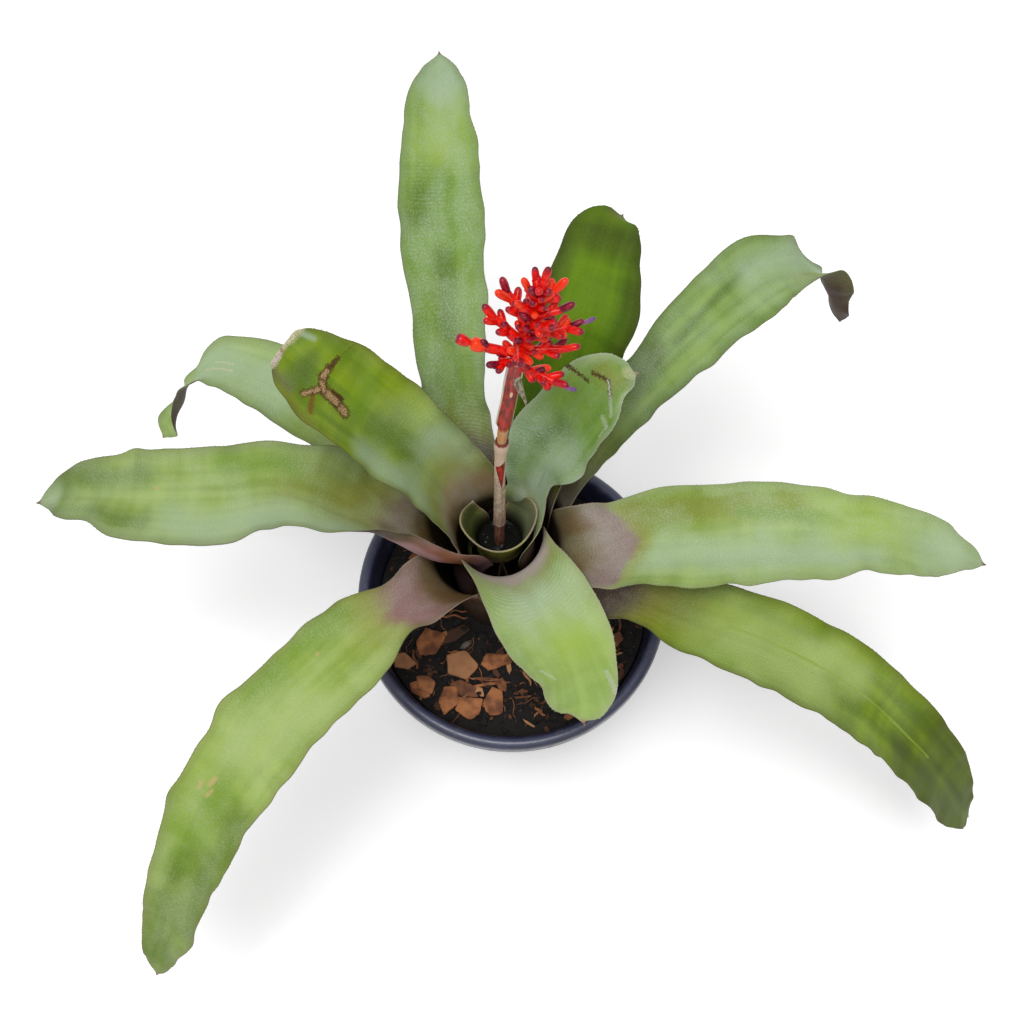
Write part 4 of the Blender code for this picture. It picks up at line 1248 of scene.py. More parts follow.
def make_pot():
    pot = one_body("nursery_pot_shell", *turned(pot_profile(), POT_STEPS), pot_finish(), crease=40.0)
    low, high = DRAIN_REACH
    peg = [(0.0, low), (DRAIN_RADIUS, low), (DRAIN_RADIUS, high), (0.0, high)]
    holes = Heap()
    for index in range(DRAIN_HOLES):
        angle = 2 * math.pi * index / DRAIN_HOLES
        points, faces = turned(peg, DRAIN_STEPS)
        holes.add(points + DRAIN_CIRCLE * np.array((math.cos(angle), math.sin(angle), 0.0)), faces)
    cut(pot, holes.build("drain_holes"))
    return stand_for(pot, "pot_plastic", "nursery_pot")


pot = make_pot()
print("pot faces:", len(pot.data.polygons))

# %% [markdown]
# ## Potting mix
#
# The mix is nearly black, damp and lumpy. Its body is a disc with an uneven top, and the crumbs
# on it are separate small lumps pressed into the surface, with a few paler ones of brown
# fibre and one grey pebble. A bumpy surface alone would look like dough, so the lumps are real.
# Each one keeps a random tone, and one finish colours them all differently.

# %% Potting mix
MIX_CLEARANCE = 0.8
FIT_GAP = 0.3
STOCK_BOTTOM = 70.0
MIX_RINGS = 44
MIX_STEPS = 120
# tones: the bed is dark, a crumb near 1 is brown fibre, and one pebble is grey
PLAIN_TONE = 0.2
PEBBLE_TONE = 2.0


def wall_radius(height):
    share = (height - POT_FLOOR) / (POT_HEIGHT - FOOT_ROUND - POT_FLOOR)
    low, high = BASE_RADIUS - POT_WALL, RIM_RADIUS - LIP_WIDTH
    return low + (high - low) * share


def mix_height(x, y):
    """Height of the uneven top of the mix."""
    rolling = np.sin(x / 9.0 + 1.0) * np.sin(y / 11.0) + 0.6 * np.sin(x / 4.3 + y / 5.1)
    return SOIL_TOP - 0.6 + 0.5 * rolling + 0.25 * np.sin(x / 1.9) * np.sin(y / 2.3 + 0.7)


def soil_finish():
    material, board, shader = new_finish("damp potting mix")
    spot = place_in_mm(board)
    tone = board.field("tone")
    dark = two_tone(board, spot, (5, 4, 3), (22, 15, 11), 0.5, high=0.7)
    light = two_tone(board, spot, (52, 32, 20), (112, 76, 50), 0.9)
    colour = board.blend(board.rise(tone, 0.82, 1.0), dark["Color"], light["Color"])
    colour = board.blend(board.rise(tone, 1.4, 1.6), colour, srgb(118, 108, 98))
    dress_shader(board, shader, colour, 0.85, board.noise(spot, 1.8, 4.0, 0.7), 0.5)
    return material


def make_mix(finish):
    bottom = POT_FLOOR + FIT_GAP
    rim = wall_radius(SOIL_TOP) - MIX_CLEARANCE
    rings = [(rim * (1.0 - step / MIX_RINGS), SOIL_TOP) for step in range(MIX_RINGS)]
    points, faces = turned([(0.0, bottom), (wall_radius(bottom) - MIX_CLEARANCE, bottom)]
                           + rings + [(0.0, SOIL_TOP)], MIX_STEPS)
    top = points[:, 2] > SOIL_TOP - 1.0
    points[top, 2] = mix_height(points[top, 0], points[top, 1])
    mix = one_body("potting_mix_bed", points, faces, finish, tone=PLAIN_TONE)
    socket_radius = STOCK_RADIUS + 2 * FIT_GAP
    socket_bottom = STOCK_BOTTOM - FIT_GAP
    points, faces = turned([(0.0, socket_bottom), (socket_radius, socket_bottom),
                            (socket_radius, POT_HEIGHT), (0.0, POT_HEIGHT)], 40)
    cut(mix, one_body("stock_socket", points + PLANT_PLACE, faces, tone=PLAIN_TONE))
    return stand_for(mix, "soil_black", "potting_mix")


damp_mix = soil_finish()
mix = make_mix(damp_mix)
print("mix faces:", len(mix.data.polygons))

# %% Crumbs
CRUMBS = 2600
CRUMB_SIZES = (0.5, 2.6)
MIX_SPREAD = 86.0
ROSETTE_SPREAD = 34.0
PEBBLE_X, PEBBLE_Y = -30.0, -27.0
PEBBLE_SIZE = 4.2
LUMP_PROFILE = [(0.0, -1.0), (0.72, -0.68), (1.0, 0.0), (0.7, 0.7), (0.0, 1.0)]


def lump(random, size):
    """A rough lump: a small ball whose points are pushed in and out."""
    points, faces = turned(LUMP_PROFILE, 7)
    push = 1.0 + random.uniform(-0.28, 0.28, (len(points), 1))
    stretch = random.uniform(0.6, 1.3, 3)
    turn = random.uniform(0.0, 2 * math.pi)
    points = points * push * stretch * size
    x, y = points[:, 0].copy(), points[:, 1].copy()
    points[:, 0] = x * math.cos(turn) - y * math.sin(turn)
    points[:, 1] = x * math.sin(turn) + y * math.cos(turn)
    return points, faces


def on_the_mix(random):
    """A random place on the mix, outside the rosette's foot."""
    while True:
        x, y = random.uniform(-MIX_SPREAD, MIX_SPREAD, 2)
        outside = math.hypot(x - PLANT_PLACE[0], y - PLANT_PLACE[1]) > ROSETTE_SPREAD
        if outside and math.hypot(x, y) < MIX_SPREAD:
            return x, y


def make_crumbs(finish):
    random = np.random.default_rng(11)
    heap = Heap()
    for _ in range(CRUMBS):
        x, y = on_the_mix(random)
        low, high = CRUMB_SIZES
        size = low + (high - low) * random.random() ** 3
        points, faces = lump(random, size)
        height = mix_height(x, y) + 0.3 * size
        heap.add(points + (x, y, height), faces, tone=random.random() ** 0.7)
    points, faces = lump(random, PEBBLE_SIZE)
    heap.add(points + (PEBBLE_X, PEBBLE_Y, SOIL_TOP + 1.6), faces, tone=PEBBLE_TONE)
    return stand_for(heap.build("mix_crumbs", finish), "soil_black")


crumbs = make_crumbs(damp_mix)
print("crumb faces:", len(crumbs.data.polygons))

# %% [markdown]
# ## Bark chips and fibres
#
# Flakes of dry bark lie on the mix. A flake is angular in outline, a little curved and not much
# thicker than a coin. Its outline is the overlap of a few straight cuts, as a broken flake has,
# and both faces follow it with a rough skin. Between the flakes lie splinters and hair roots,
# which are thin bent tubes.

# %% Bark finish and flakes
CHIP_THICKNESS = 4.0
CUTS = 5
FLAKE_STEPS = 30


def bark_finish():
    material, board, shader = new_finish("dry bark")
    spot = place_in_mm(board)
    tone = board.field("tone")
    face = two_tone(board, spot, (112, 66, 40), (178, 114, 68), 0.11, 0.32, 0.66, 1.5)
    pits = board.noise(spot, 0.8, 3.0, 0.6)
    colour = board.blend(board.fall(pits, 0.34, 0.42) * 0.35, face["Color"], srgb(64, 36, 24))
    colour = board.blend(board.fall(tone, 0.2, 0.7), colour, srgb(52, 30, 22))
    colour = board.blend(board.rise(tone, 0.85, 1.0), colour, srgb(184, 134, 92))
    dress_shader(board, shader, colour, 0.8, pits, 0.4)
    return material


def flake(random, length, width, thickness):
    """An angular flake of bark, its middle at the origin and its long side along x."""
    angles = 2 * np.pi * np.arange(FLAKE_STEPS) / FLAKE_STEPS
    facing = 2 * np.pi * (np.arange(CUTS) + random.uniform(-0.28, 0.28, CUTS)) / CUTS
    depth = random.uniform(0.72, 0.94, CUTS)
    slant = np.cos(angles[:, None] - facing[None, :])
    outline = np.min(np.where(slant > 0.15, depth / np.maximum(slant, 0.15), 9.0), axis=1)
    outline = np.minimum(outline, 1.16) * (1.0 + random.uniform(-0.03, 0.03, FLAKE_STEPS))
    half = thickness / 2
    profile = [(0.0, -half), (0.5, -half), (0.94, -half * 0.9), (1.0, -half * 0.2),
               (0.97, half * 0.6), (0.86, half * 0.9), (0.5, half), (0.25, half), (0.0, half)]
    points, faces = turned(profile, FLAKE_STEPS)
    scale = np.concatenate([[1.0], np.tile(outline, len(profile) - 2), [1.0]])
    points[:, 0] *= scale * length / 2
    points[:, 1] *= scale * width / 2
    bend = random.uniform(-0.006, 0.010)
    points[:, 2] += bend * points[:, 1] ** 2 + random.uniform(-0.12, 0.12, len(points))
    return points, faces


def laid(points, x, y, height, turn, tilt=0.0, roll=0.0):
    """Points turned, tilted and moved to their place."""
    turn, tilt, roll = (math.radians(value) for value in (turn, tilt, roll))
    about_x = np.array([(1, 0, 0), (0, math.cos(roll), -math.sin(roll)),
                        (0, math.sin(roll), math.cos(roll))])
    about_y = np.array([(math.cos(tilt), 0, math.sin(tilt)), (0, 1, 0),
                        (-math.sin(tilt), 0, math.cos(tilt))])
    about_z = np.array([(math.cos(turn), -math.sin(turn), 0), (math.sin(turn), math.cos(turn), 0),
                        (0, 0, 1)])
    return points @ (about_z @ about_y @ about_x).T + (x, y, height)

# %% Bark chips
# x, y, length, width, turn in degrees, as the solids have them
CHIPS = [
    (-55.0, -26.0, 21.0, 14.0, 60.0), (-71.0, -38.0, 14.0, 10.0, -30.0),
    (-33.0, -41.0, 22.0, 15.0, -35.0), (-11.0, -38.0, 20.0, 9.0, 15.0),
    (-41.0, -63.0, 19.0, 12.0, 75.0), (-27.0, -68.0, 17.0, 12.0, 10.0),
    (-12.0, -66.0, 19.0, 11.0, 70.0), (-56.0, -53.0, 15.0, 9.0, -30.0),
    (64.0, -26.0, 18.0, 9.0, 25.0),
]
# the cuts take away from a flake's outline, so it starts longer and wider than the solid; it
# is also thinner, as real bark is
LONGER, WIDER, THINNER = 1.14, 1.26, 0.7


def make_chips(finish):
    random = np.random.default_rng(5)
    for index, (x, y, length, width, turn) in enumerate(CHIPS):
        points, faces = flake(random, length * LONGER, width * WIDER, CHIP_THICKNESS * THINNER)
        height = SOIL_TOP + FIT_GAP + CHIP_THICKNESS / 2
        tone = 0.65 + 0.3 * random.random()
        heap = Heap()
        heap.add(laid(points, x, y, height, turn, random.uniform(-5, 5), random.uniform(-6, 6)),
                 faces, tone=tone)
        name = "bark_chip_%d" % (index + 1)
        stand_for(heap.build(name + "_flake", finish, crease=35.0), "bark", name)


bark = bark_finish()
make_chips(bark)
print("chips:", len(CHIPS))

# %% Litter
LITTER = 60
# sticks and pieces of wood that lie between the chips: x, y, length, width, turn, tone
WOOD = [
    (-2.7, -39.0, 16.0, 3.6, 100.0, 1.0), (-20.8, -58.0, 8.5, 5.0, -50.0, 1.0),
    (-31.5, -56.0, 23.0, 10.0, -20.0, 0.45), (-15.0, -50.0, 25.0, 3.0, -6.0, 0.5),
    (-10.0, -52.5, 22.0, 2.2, 3.0, 0.55), (-18.0, -53.5, 20.0, 1.8, 10.0, 0.7),
    (5.6, -62.0, 17.0, 1.6, 6.0, 0.8), (11.0, -79.0, 10.0, 1.8, -35.0, 1.0),
    (-38.0, -20.0, 22.0, 9.0, 30.0, 0.3), (-60.0, -57.0, 16.0, 9.0, -40.0, 0.8),
    (58.0, -22.0, 24.0, 3.0, 35.0, 0.8), (62.0, -40.0, 18.0, 6.0, 60.0, 0.5),
    (66.0, -34.0, 16.0, 2.0, 20.0, 1.0), (70.0, 60.0, 16.0, 3.0, 120.0, 0.95),
]
WOOD_THICKNESS = 2.0


def make_litter(finish):
    random = np.random.default_rng(23)
    heap = Heap()
    for _ in range(LITTER):
        x, y = on_the_mix(random)
        length = random.uniform(3.5, 11.0)
        points, faces = flake(random, length, length * random.uniform(0.35, 0.8),
                              random.uniform(1.0, 2.0))
        heap.add(laid(points, x, y, mix_height(x, y) + 1.2, random.uniform(0, 360),
                      random.uniform(-22, 22), random.uniform(-22, 22)), faces,
                 tone=random.random())
    for x, y, length, width, turn, tone in WOOD:
        points, faces = flake(random, length, width, WOOD_THICKNESS)
        heap.add(laid(points, x, y, mix_height(x, y) + 1.6, turn, random.uniform(-4, 4),
                      random.uniform(-12, 12)), faces, tone=tone)
    return stand_for(heap.build("bark_litter", finish, crease=35.0), "bark")


litter = make_litter(bark)
print("litter faces:", len(litter.data.polygons))

# %% Splinters and hair roots
FIBRES = 150


def splinter(random, x, y, length, radius, height):
    """A bent thin tube that lies on the mix."""
    turn = random.uniform(0, 2 * math.pi)
    share = np.linspace(-0.5, 0.5, 11)
    bend = random.uniform(-0.5, 0.5)
    sideways = length * (bend * (share ** 2 - 0.08) + 0.05 * np.sin(9 * share + 6 * bend))
    path = np.stack([x + length * share * math.cos(turn) - sideways * math.sin(turn),
                     y + length * share * math.sin(turn) + sideways * math.cos(turn),
                     height + radius + 1.3 * np.sin(5 * share + 8 * bend) ** 2], -1)
    radii = radius * (1.0 - 0.6 * np.abs(2 * share) ** 3)
    return tube(path, radii, 6)


def make_fibres(finish):
    random = np.random.default_rng(31)
    heap = Heap()
    for _ in range(FIBRES):
        x, y = on_the_mix(random)
        thick = random.random() ** 3
        length = random.uniform(7.0, 22.0)
        points, faces = splinter(random, x * 0.93, y * 0.93, length, 0.25 + 0.9 * thick, SOIL_TOP)
        if np.hypot(points[:, 0], points[:, 1]).max() < wall_radius(SOIL_TOP) - 1.0:
            heap.add(points, faces, tone=0.3 + 0.7 * random.random())
    return stand_for(heap.build("mix_fibres", finish), "bark")


fibres = make_fibres(bark)
print("fibre faces:", len(fibres.data.polygons))

# %% [markdown]
# ## Stock and cup water
#
# The stock is the short stem that the leaves grow from, ringed where old leaves have dropped.
# Rain collects in the cup of the innermost leaf. The water is painted nearly black, a painted
# shade for the dark tube below it, with a few grey glints painted in as reflections. Both could
# be plain cylinders. They are turned from a profile instead, so that the stock keeps its rings and
# the water its raised rim.

# %% Stock
STOCK_TOP = 160.0
STOCK_TAPER = 4.0
TAPER_HEIGHT = 24.0
SCAR_DEPTH = 0.35


def stock_finish():
    material, board, shader = new_finish("fibrous stock")
    fibre = two_tone(board, place_in_mm(board, 1.0, 1.0, 0.3), (74, 54, 36), (120, 92, 62), 0.5)
    dress_shader(board, shader, fibre["Color"], 0.8, fibre["Height"], 0.5)
    return material


def make_stock():
    rings = []
    for index, height in enumerate(np.linspace(STOCK_BOTTOM, STOCK_TOP, 46)):
        narrow = STOCK_TAPER * (1.0 - ease(height, STOCK_BOTTOM, STOCK_BOTTOM + TAPER_HEIGHT))
        rings.append((STOCK_RADIUS - narrow - (0.0 if index % 3 else SCAR_DEPTH), height))
    points, faces = turned([(0.0, STOCK_BOTTOM)] + rings + [(0.0, STOCK_TOP)], 40)
    core = one_body("stock_core", points + PLANT_PLACE, faces, stock_finish())
    return stand_for(core, "stock_brown", "stock")


stock = make_stock()
print("stock faces:", len(stock.data.polygons))

# %% Cup water
WATER_LEVEL = 228.0
WATER_RADIUS = 12.9
WATER_DEPTH = 1.5
WATER_DIP = 0.4


def water_finish():
    material, board, shader = new_finish("cup water", gloss=0.06)
    spot = place_in_mm(board)
    # nearly black as painted shade of the tube below, with grey patches painted in as glints of reflection
    painted_shade_and_glints = two_tone(board, spot, (7, 8, 5), (96, 96, 88), 0.22, 0.62, 0.72)
    dress_shader(board, shader, painted_shade_and_glints["Color"], 0.18, board.noise(spot, 0.2), 0.5)
    return material


def make_water():
    bottom, dip = WATER_LEVEL - WATER_DEPTH, WATER_LEVEL - WATER_DIP
    points, faces = turned([(0.0, bottom), (WATER_RADIUS, bottom), (WATER_RADIUS, WATER_LEVEL),
                            (WATER_RADIUS - 1.2, dip), (8.0, dip), (4.4, WATER_LEVEL),
                            (0.0, WATER_LEVEL)], 48)
    return stand_for(one_body("cup_water", points + PLANT_PLACE, faces, water_finish()), "leaf_green")


water = make_water()
print("water faces:", len(water.data.polygons))

# %% [markdown]
# ## Flower stem
#
# The stem is a smooth rod that bends back a little as it rises. Its foot is brown where it
# leaves the water, then it is a waxy red, darker in long streaks and flecked with pale scars. It
# could be a curve with a round bevel, but rings of points can also keep their share of the
# stem's height, and that share puts each colour in its place.

# %% Flower stem
STEM_ROUTE = [
    # x and y from the plant's axis, height, radius
    (0.0, -1.0, STOCK_TOP + FIT_GAP, 3.6),
    (0.0, -1.0, 224.0, 3.4),
    (0.4, 8.0, 279.0, 2.6),
    (0.9, 16.0, 325.0, 2.4),
    (3.0, 22.0, 362.0, 3.0),
    (6.0, 27.0, 388.0, 2.8),
    (7.8, 30.5, 407.0, 2.9),
    (10.0, 34.0, 424.0, 2.8),
    (13.5, 38.0, 442.0, 2.5),
    (18.0, 42.5, 461.0, 2.0),
    (21.0, 47.0, 478.0, 1.5),
]
STEM_STEPS = 260
STEM_SIDES = 22


def stem_at(shares):
    """Centres and radii of the flower stem at shares of its length."""
    x, y, height, radius = smooth_between(STEM_ROUTE, np.atleast_1d(shares)).T
    return PLANT_PLACE + np.stack([x, y, height], -1), radius


def stem_frame(shares):
    """Centres, radii, directions and two side directions of the flower stem."""
    centre, radius = stem_at(shares)
    ahead = stem_at(np.minimum(np.atleast_1d(shares) + SLOPE_STEP, 1.0))[0]
    behind = stem_at(np.maximum(np.atleast_1d(shares) - SLOPE_STEP, 0.0))[0]
    direction = unit(ahead - behind)
    side = unit(np.cross(direction, (0.0, 1.0, 0.0)))
    return centre, radius, direction, side, np.cross(direction, side)


# shares of the stem where its brown foot ends, where dry skin begins and ends, where scars
# begin, and where the bright red begins
FOOT_ENDS = (0.165, 0.195)
DRY_BEGINS, DRY_ENDS = (0.36, 0.364), (0.408, 0.418)
SCARS_BEGIN = (0.42, 0.46)
BRIGHT_BEGINS = (0.66, 0.72)


def stem_finish():
    material, board, shader = new_finish("red flower stem", gloss=0.4)
    share = board.field("share")
    streaks = place_in_mm(board, 1.0, 1.0, 0.16)
    red = two_tone(board, streaks, (104, 16, 14), (190, 36, 30), 0.55, 0.36, 0.62)
    brown = two_tone(board, streaks, (98, 58, 46), (150, 102, 86), 0.6)
    tan = two_tone(board, place_in_mm(board), (196, 164, 138), (206, 138, 82), 0.2, 0.48, 0.6)
    scars = flecks(board, place_in_mm(board, 1.0, 1.0, 0.45), 0.42, 0.62, 0.67)
    colour = board.blend(board.rise(share, *FOOT_ENDS), brown["Color"], red["Color"])
    uneven = red["Height"] * 0.03 + share
    dry = board.rise(uneven, *DRY_BEGINS) * board.fall(uneven, *DRY_ENDS)
    colour = board.blend(dry, colour, tan["Color"])
    scarred = scars * board.rise(share, *SCARS_BEGIN) * 0.8
    colour = board.blend(scarred, colour, srgb(216, 160, 142))
    colour = board.blend(board.rise(share, *BRIGHT_BEGINS), colour, srgb(226, 34, 26))
    dress_shader(board, shader, colour, 0.34, red["Height"], 0.25)
    return material


def make_stem():
    shares = np.linspace(0.0, 1.0, STEM_STEPS)
    path, radii = stem_at(shares)
    rod = one_body("flower_stem_rod", *tube(path, radii, STEM_SIDES), stem_finish(),
                   share=np.repeat(shares, STEM_SIDES))
    return stand_for(rod, "stem_red", "flower_stem")


stem = make_stem()
print("stem faces:", len(stem.data.polygons))

# %% [markdown]
# ## Bracts
#
# Bracts are small sheathing leaves that clasp the stem, dry and papery. Two pale ones follow
# each other up the stem and leave a red lozenge bare where the seam of the lower one opens.
# Above them comes a thin red bract with clear margins, and an old one hangs down beside it.
# They could be painted on the stem, but their edges stand off it and cast small shadows. So each
# is a sheet wrapped round the stem, and the table says how far round it goes and where its
# seam opens.

# %% Bracts
BRACT_THICKNESS = 0.45
BRACT_CLEARANCE = 0.25
BRACT_ROWS = 48
BRACT_COLUMNS = 44
BULGE_PLACE, BULGE_SPREAD = 0.70, 0.22
MARGIN_FLARE = 0.9
OVERLAP_GAP = 0.3
OVERLAP_FROM = 150.0
DROOP = 1.1
BRACTS = {
    # start and end shares of the stem, facing, half wrap at the start and end,
    # share where the seam opens, lift at the end, bulge, redness, slant of the ends
    "stem_bract_lower": (0.152, 0.303, 292.0, 177.0, 100.0, 0.54, 0.1, 0.0, 0.0, 3.4),
    "stem_bract_middle": (0.298, 0.356, 62.0, 177.0, 176.0, 0.86, 0.0, 0.8, 0.0, 3.4),
    "stem_bract_upper": (0.408, 0.70, 92.0, 100.0, 82.0, 0.05, 0.3, 0.0, 1.0, 0.0),
    "dried_bract": (0.665, 0.52, 180.0, 92.0, 16.0, 0.2, 6.0, 0.0, 0.0, 0.0),
}
# shares of the stem where the paper's damp foot ends, where it turns smooth, and its brown node
DAMP_ENDS = (0.160, 0.195)
SMOOTH_BEGINS = (0.24, 0.30)
NODE_BEGINS = (0.355, 0.3575)
# share of the stem where the red bract's pale blister sits, and how its two directions are scaled
BLISTER_SHARE = 0.55
BLISTER_STRETCH = (75.0, 8.0)


def paper_colour(board, share, specks, paper):
    """Pale paper with brown dots, damp at its foot, with a brown node at its top."""
    smooth = board.rise(share, *SMOOTH_BEGINS)
    sheath = board.blend(smooth, paper["Color"], srgb(208, 180, 158))
    colour = board.blend(specks["Mask"] * (0.55 - smooth * 0.45), sheath, srgb(112, 78, 62))
    damp = board.fall(share, *DAMP_ENDS) * (specks["Mask"] * 0.5 + 0.5)
    colour = board.blend(damp, colour, srgb(128, 86, 72))
    node = specks["Height"] * 0.010 + share
    return board.blend(board.rise(node, *NODE_BEGINS), colour, srgb(122, 46, 34))


def flesh_colour(board, share):
    """Dark red streaks with pale scars, a blister and clear margins."""
    blood = two_tone(board, place_in_mm(board, 1.0, 1.0, 0.14), (104, 10, 10), (186, 26, 20),
                     0.45, 0.36, 0.60)
    scars = flecks(board, place_in_mm(board, 1.0, 1.0, 0.4), 0.40, 0.66, 0.70)
    flesh = board.blend(scars * 0.85, blood["Color"], srgb(212, 164, 144))
    high, wide = BLISTER_STRETCH
    offset = board.vector((share - BLISTER_SHARE) * high, board.field("across") * wide)
    blister = board.vector_math("LENGTH", offset, output="Value")
    flesh = board.blend(board.fall(blister, 0.8, 1.3), flesh, srgb(232, 196, 160))
    return board.blend(board.fall(board.field("edge"), 0.5, 1.2), flesh, srgb(224, 206, 196))


def bract_finish():
    material, board, shader = new_finish("papery bract")
    spot = place_in_mm(board, 1.0, 1.0, 0.45)
    share, red = board.field("share"), board.field("red")
    paper = two_tone(board, spot, (160, 138, 118), (204, 182, 160), 0.5, high=0.62)
    specks = board.place(grain, Vector=place_in_mm(board), Scale=1.1, Low=0.50, High=0.62, Detail=4.0)
    dry = two_tone(board, spot, (104, 90, 66), (178, 168, 146), 0.5, 0.4, 0.6)
    colour = board.blend(board.field("dry"), paper_colour(board, share, specks, paper), dry["Color"])
    colour = board.blend(red, colour, flesh_colour(board, share))
    dress_shader(board, shader, colour, 0.72 - red * 0.34, paper["Height"], 0.3)
    return material


def make_bract(name, finish):
    start, end, facing, wrap, end_wrap, opening, lift, bulge, redness, slant = BRACTS[name]
    along = np.linspace(0.0, 1.0, BRACT_ROWS)
    across = np.linspace(-1.0, 1.0, BRACT_COLUMNS)
    centre, radius, direction, side, front = stem_frame(start + (end - start) * along)
    half = wrap + (end_wrap - wrap) * ease(along, opening, 1.0)
    half = half * (1.0 + 0.01 * wander(along, 0.31, len(name)))
    turn = np.radians(facing + half[:, None] * across[None, :])[..., None]
    outward = side[:, None] * np.cos(turn) + front[:, None] * np.sin(turn)
    swell = bulge * np.exp(-((along - BULGE_PLACE) / BULGE_SPREAD) ** 2)
    reach = radius + BRACT_CLEARANCE + BRACT_THICKNESS / 2 + lift * along ** 2 + swell
    flare = redness * MARGIN_FLARE * np.abs(across) ** 6
    spiral = OVERLAP_GAP * across[None, :] * (half[:, None] > OVERLAP_FROM)
    reach = reach[:, None] + flare[None, :] + np.maximum(spiral, 0.0)
    hangs = start > end
    centre = centre - DROOP * lift * (along ** 3)[:, None] * direction * hangs
    middle = centre[:, None] + outward * reach[..., None]
    # the lower sleeve's top and the next one's foot are cut at the same slant
    end_slant = ease(along, 0.6, 1.0) if name == "stem_bract_lower" else 1.0 - ease(along, 0.0, 0.4)
    middle = middle - (slant * end_slant[:, None] * np.cos(turn[..., 0]))[..., None] * direction[:, None]
    thick = outward * BRACT_THICKNESS / 2
    first, second = middle - thick, middle + thick
    if hangs:
        first, second = second, first
    edge = np.minimum(radius.mean() * np.radians(half)[:, None] * (1 - np.abs(across))[None, :],
                      30.0 * (1.0 - along)[:, None] + 0.6)
    shares = np.repeat(start + (end - start) * along, BRACT_COLUMNS)
    heap = Heap()
    heap.add(np.concatenate([first.reshape(-1, 3), second.reshape(-1, 3)]),
             sheet_faces(BRACT_ROWS, BRACT_COLUMNS), red=redness, edge=np.tile(edge.ravel(), 2),
             dry=1.0 if name == "dried_bract" else 0.0, share=np.tile(shares, 2),
             across=np.tile(across, 2 * BRACT_ROWS))
    return stand_for(heap.build(name + "_sheath", finish), "bract_paper", name)


papery = bract_finish()
bracts = [make_bract(name, papery) for name in BRACTS]
print("bracts:", len(bracts))

# %% [markdown]
# ## Flower head
#
# The head is a loose spike of fleshy red branches, each set with plump buds that point outward
# and up. A bud is longer than wide with a blunt end, scarlet in its body and maroon at its tip,
# and a few are maroon all over. Two flowers are just opening and push out a violet petal. Short
# buds also sit straight on the upper stem, so the middle of the head is full.

# %% Buds
BUD_PROFILE = [(0.0, 0.0), (0.66, 0.01), (0.80, 0.10), (0.92, 0.30), (1.0, 0.54), (0.97, 0.72),
               (0.84, 0.86), (0.56, 0.95), (0.25, 0.99), (0.0, 1.0)]
BUD_SIDES = 14
# a direction that no bud points in, from which its first side direction is found
NO_BUDS_WAY = (0.31, 0.82, 0.47)


def bud_finish():
    material, board, shader = new_finish("red buds", gloss=0.3)
    tip, tint = board.field("tip"), board.field("tint")
    spot = place_in_mm(board)
    scarlet = two_tone(board, spot, (200, 6, 12), (252, 30, 10), 0.30)
    maroon = two_tone(board, spot, (84, 8, 34), (160, 18, 50), 0.4)
    colour = board.blend(board.fall(tint, 0.0, 0.3), scarlet["Color"], srgb(252, 62, 16))
    dark = board.rise(tip, 0.70, 0.98) * board.rise(tint, 0.15, 0.4)
    dark = board.math("MAXIMUM", dark, board.rise(tint, 0.78, 0.88))
    colour = board.blend(dark, colour, maroon["Color"])
    violet = board.blend(tip, srgb(150, 106, 156), srgb(104, 60, 128))
    colour = board.blend(board.rise(tint, 1.5, 1.6), colour, violet)
    dress_shader(board, shader, colour, 0.28, scarlet["Height"], 0.3)
    return material


def add_bud(heap, base, heading, length, radius, tint, flat=1.0):
    """A bud whose near end sits at base; flat below 1 squeezes it into a petal."""
    heading = unit(np.asarray(heading, float))
    first = unit(np.cross(heading, NO_BUDS_WAY))
    second = np.cross(heading, first)
    points, faces = turned(BUD_PROFILE, BUD_SIDES)
    tip = points[:, 2].copy()
    placed = (base + points[:, :1] * radius * first + points[:, 1:2] * radius * flat * second
              + tip[:, None] * length * heading)
    heap.add(placed, faces, tip=tip, tint=tint)

# %% Flower head
HEAD_START = 0.68
BUD_LENGTH = 10.0
BUD_RADIUS = 2.05
BUD_START = 6.5
BUD_SPACING = 4.4
STALK_ROOT = 2.4
STALK_END = 1.9
CORE_BUDS = 46
GOLDEN_ANGLE = 137.5
BRANCHES = [
    # share of the head's height, facing (0 left, 90 front, 180 right), rise, length
    (0.00, 148.0, 8.0, 20.0), (0.06, 25.0, 10.0, 9.0), (0.15, 356.0, 10.0, 25.0),
    (0.20, 180.0, 12.0, 21.0), (0.27, 80.0, 25.0, 13.0), (0.33, 338.0, 28.0, 18.0),
    (0.38, 190.0, 20.0, 22.0), (0.46, 268.0, 20.0, 11.0), (0.52, 318.0, 34.0, 19.0),
    (0.58, 120.0, 38.0, 10.0), (0.64, 184.0, 30.0, 13.0), (0.72, 20.0, 36.0, 8.0),
    (0.80, 205.0, 38.0, 10.0), (0.86, 345.0, 45.0, 7.0), (0.93, 300.0, 50.0, 6.0),
    (1.00, 240.0, 66.0, 5.0),
]
# branches that end in an opening flower, that flower's size and tint, and the branch whose
# buds are short and round
OPENING = (0, 6)
PETAL_LENGTH, PETAL_RADIUS, PETAL_TINT, PETAL_FLATNESS = 7.0, 1.5, 2.0, 0.8
ROUND_BUDS = 2
# distance along that branch, lean, tint, share of the usual length and breadth
ROUND_ROW = [(2.0, -0.5, 0.95, 0.8, 1.0), (6.0, -0.1, 0.5, 1.0, 1.2), (14.0, 0.9, 0.9, 0.6, 0.9),
             (15.5, 0.0, 0.0, 0.82, 1.9), (24.0, 0.25, 0.55, 0.72, 1.4)]


def head_frame(share):
    """Stem frame at one share of the head's height."""
    return [value[0] for value in stem_frame(HEAD_START + (1.0 - HEAD_START) * share)]


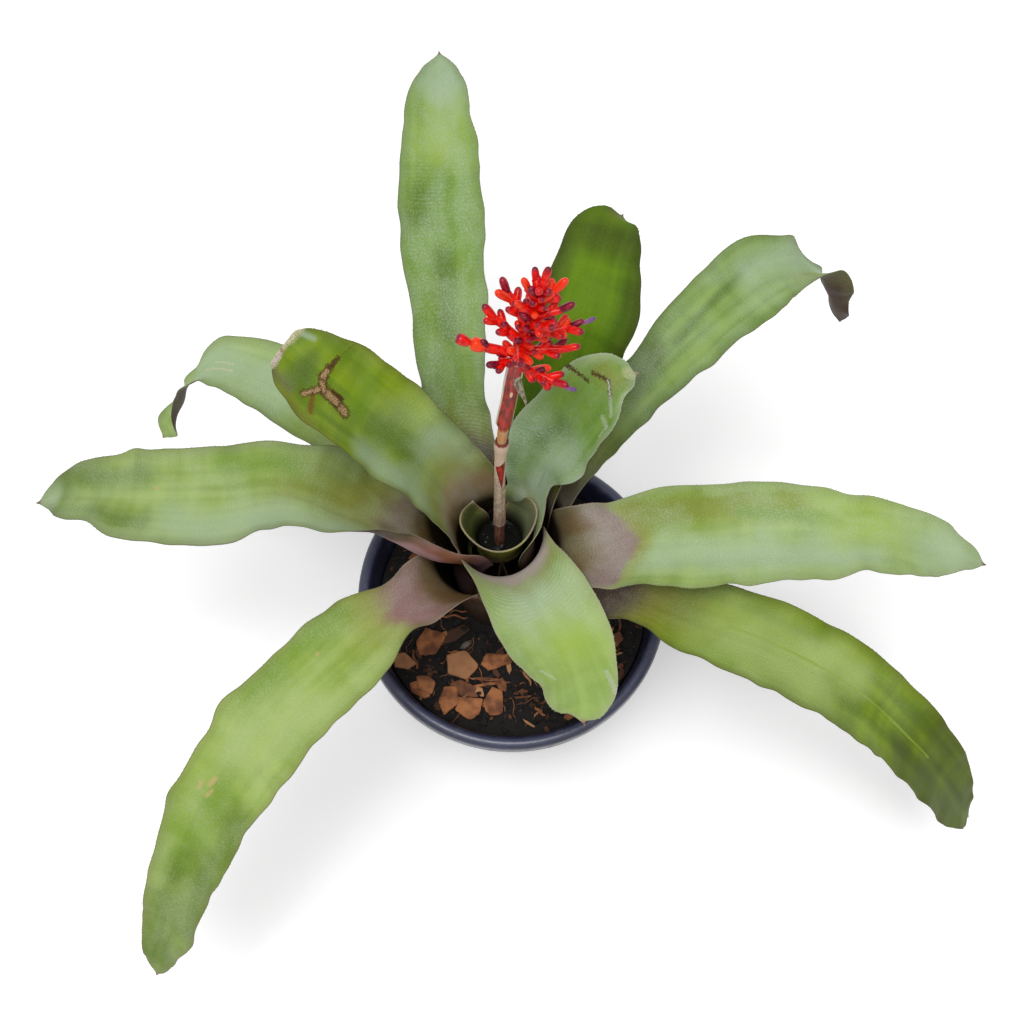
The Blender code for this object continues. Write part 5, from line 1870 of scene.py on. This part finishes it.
def make_branch(index, finish):
    share, facing, rise, length = BRANCHES[index]
    random = np.random.default_rng(100 + index)
    centre, radius, direction, side, front = head_frame(share)
    angle, rise = math.radians(facing), math.radians(rise)
    outward = side * math.cos(angle) + front * math.sin(angle)
    axis = outward * math.cos(rise) + direction * math.sin(rise)
    across = unit(np.cross(axis, direction))
    above = np.cross(across, axis)
    start = centre + outward * (radius - 0.5)
    steps = np.linspace(0.0, 1.0, 14)[:, None]
    path = start + axis * (length + 0.8) * steps + above * 0.7 * np.sin(3 * steps)
    end = 1.0 if index == ROUND_BUDS else STALK_END
    points, faces = tube(path, STALK_ROOT + (end - STALK_ROOT) * steps[:, 0] ** 2, 12)
    heap = Heap()
    heap.add(points, faces, tip=0.0, tint=0.5)

    def bud(distance, heading, tint, long=1.0, wide=1.0):
        size = random.uniform(0.9, 1.12)
        add_bud(heap, start + axis * distance, heading, BUD_LENGTH * long * size,
                BUD_RADIUS * wide * size, tint)

    if index == ROUND_BUDS:
        for distance, lean, tint, long, wide in ROUND_ROW:
            bud(distance, axis + lean * above, tint, long, wide)
    else:
        bud(length - 2.0, axis + 0.25 * above, random.random())
        if index in OPENING:
            add_bud(heap, start + axis * (length + 6.0), axis + 0.3 * above, PETAL_LENGTH,
                    PETAL_RADIUS, PETAL_TINT, PETAL_FLATNESS)
        for step in range(max(0, round((length - BUD_START) / BUD_SPACING))):
            lean = across if step % 2 else -across
            place = BUD_START - 1.0 + step * BUD_SPACING
            bud(place, axis + lean * 0.75 + above * random.uniform(0.0, 0.4), random.random())
            bud(place - 2.0, axis - lean * 0.4 + above * (0.8 if step % 2 else -0.6),
                random.random(), 0.75)
    name = "head_branch_%02d" % (index + 1)
    return stand_for(heap.build(name + "_buds", finish), "berry_red", name)

# %% Buds on the upper stem
def make_core(finish):
    random = np.random.default_rng(77)
    heap = Heap()
    for index in range(CORE_BUDS):
        share = 0.02 + 0.96 * index / (CORE_BUDS - 1)
        centre, radius, direction, side, front = head_frame(share)
        angle = math.radians(GOLDEN_ANGLE * index)
        outward = side * math.cos(angle) + front * math.sin(angle)
        heading = outward + direction * (0.45 + 0.9 * share)
        length = BUD_LENGTH * random.uniform(0.62, 0.95)
        add_bud(heap, centre + outward * radius * 0.6, heading, length,
                BUD_RADIUS * random.uniform(0.85, 1.05), random.random())
    return stand_for(heap.build("head_core_buds", finish), "berry_red")


buds = bud_finish()
head = [make_branch(index, buds) for index in range(len(BRANCHES))] + [make_core(buds)]
print("head faces:", sum(len(piece.data.polygons) for piece in head))
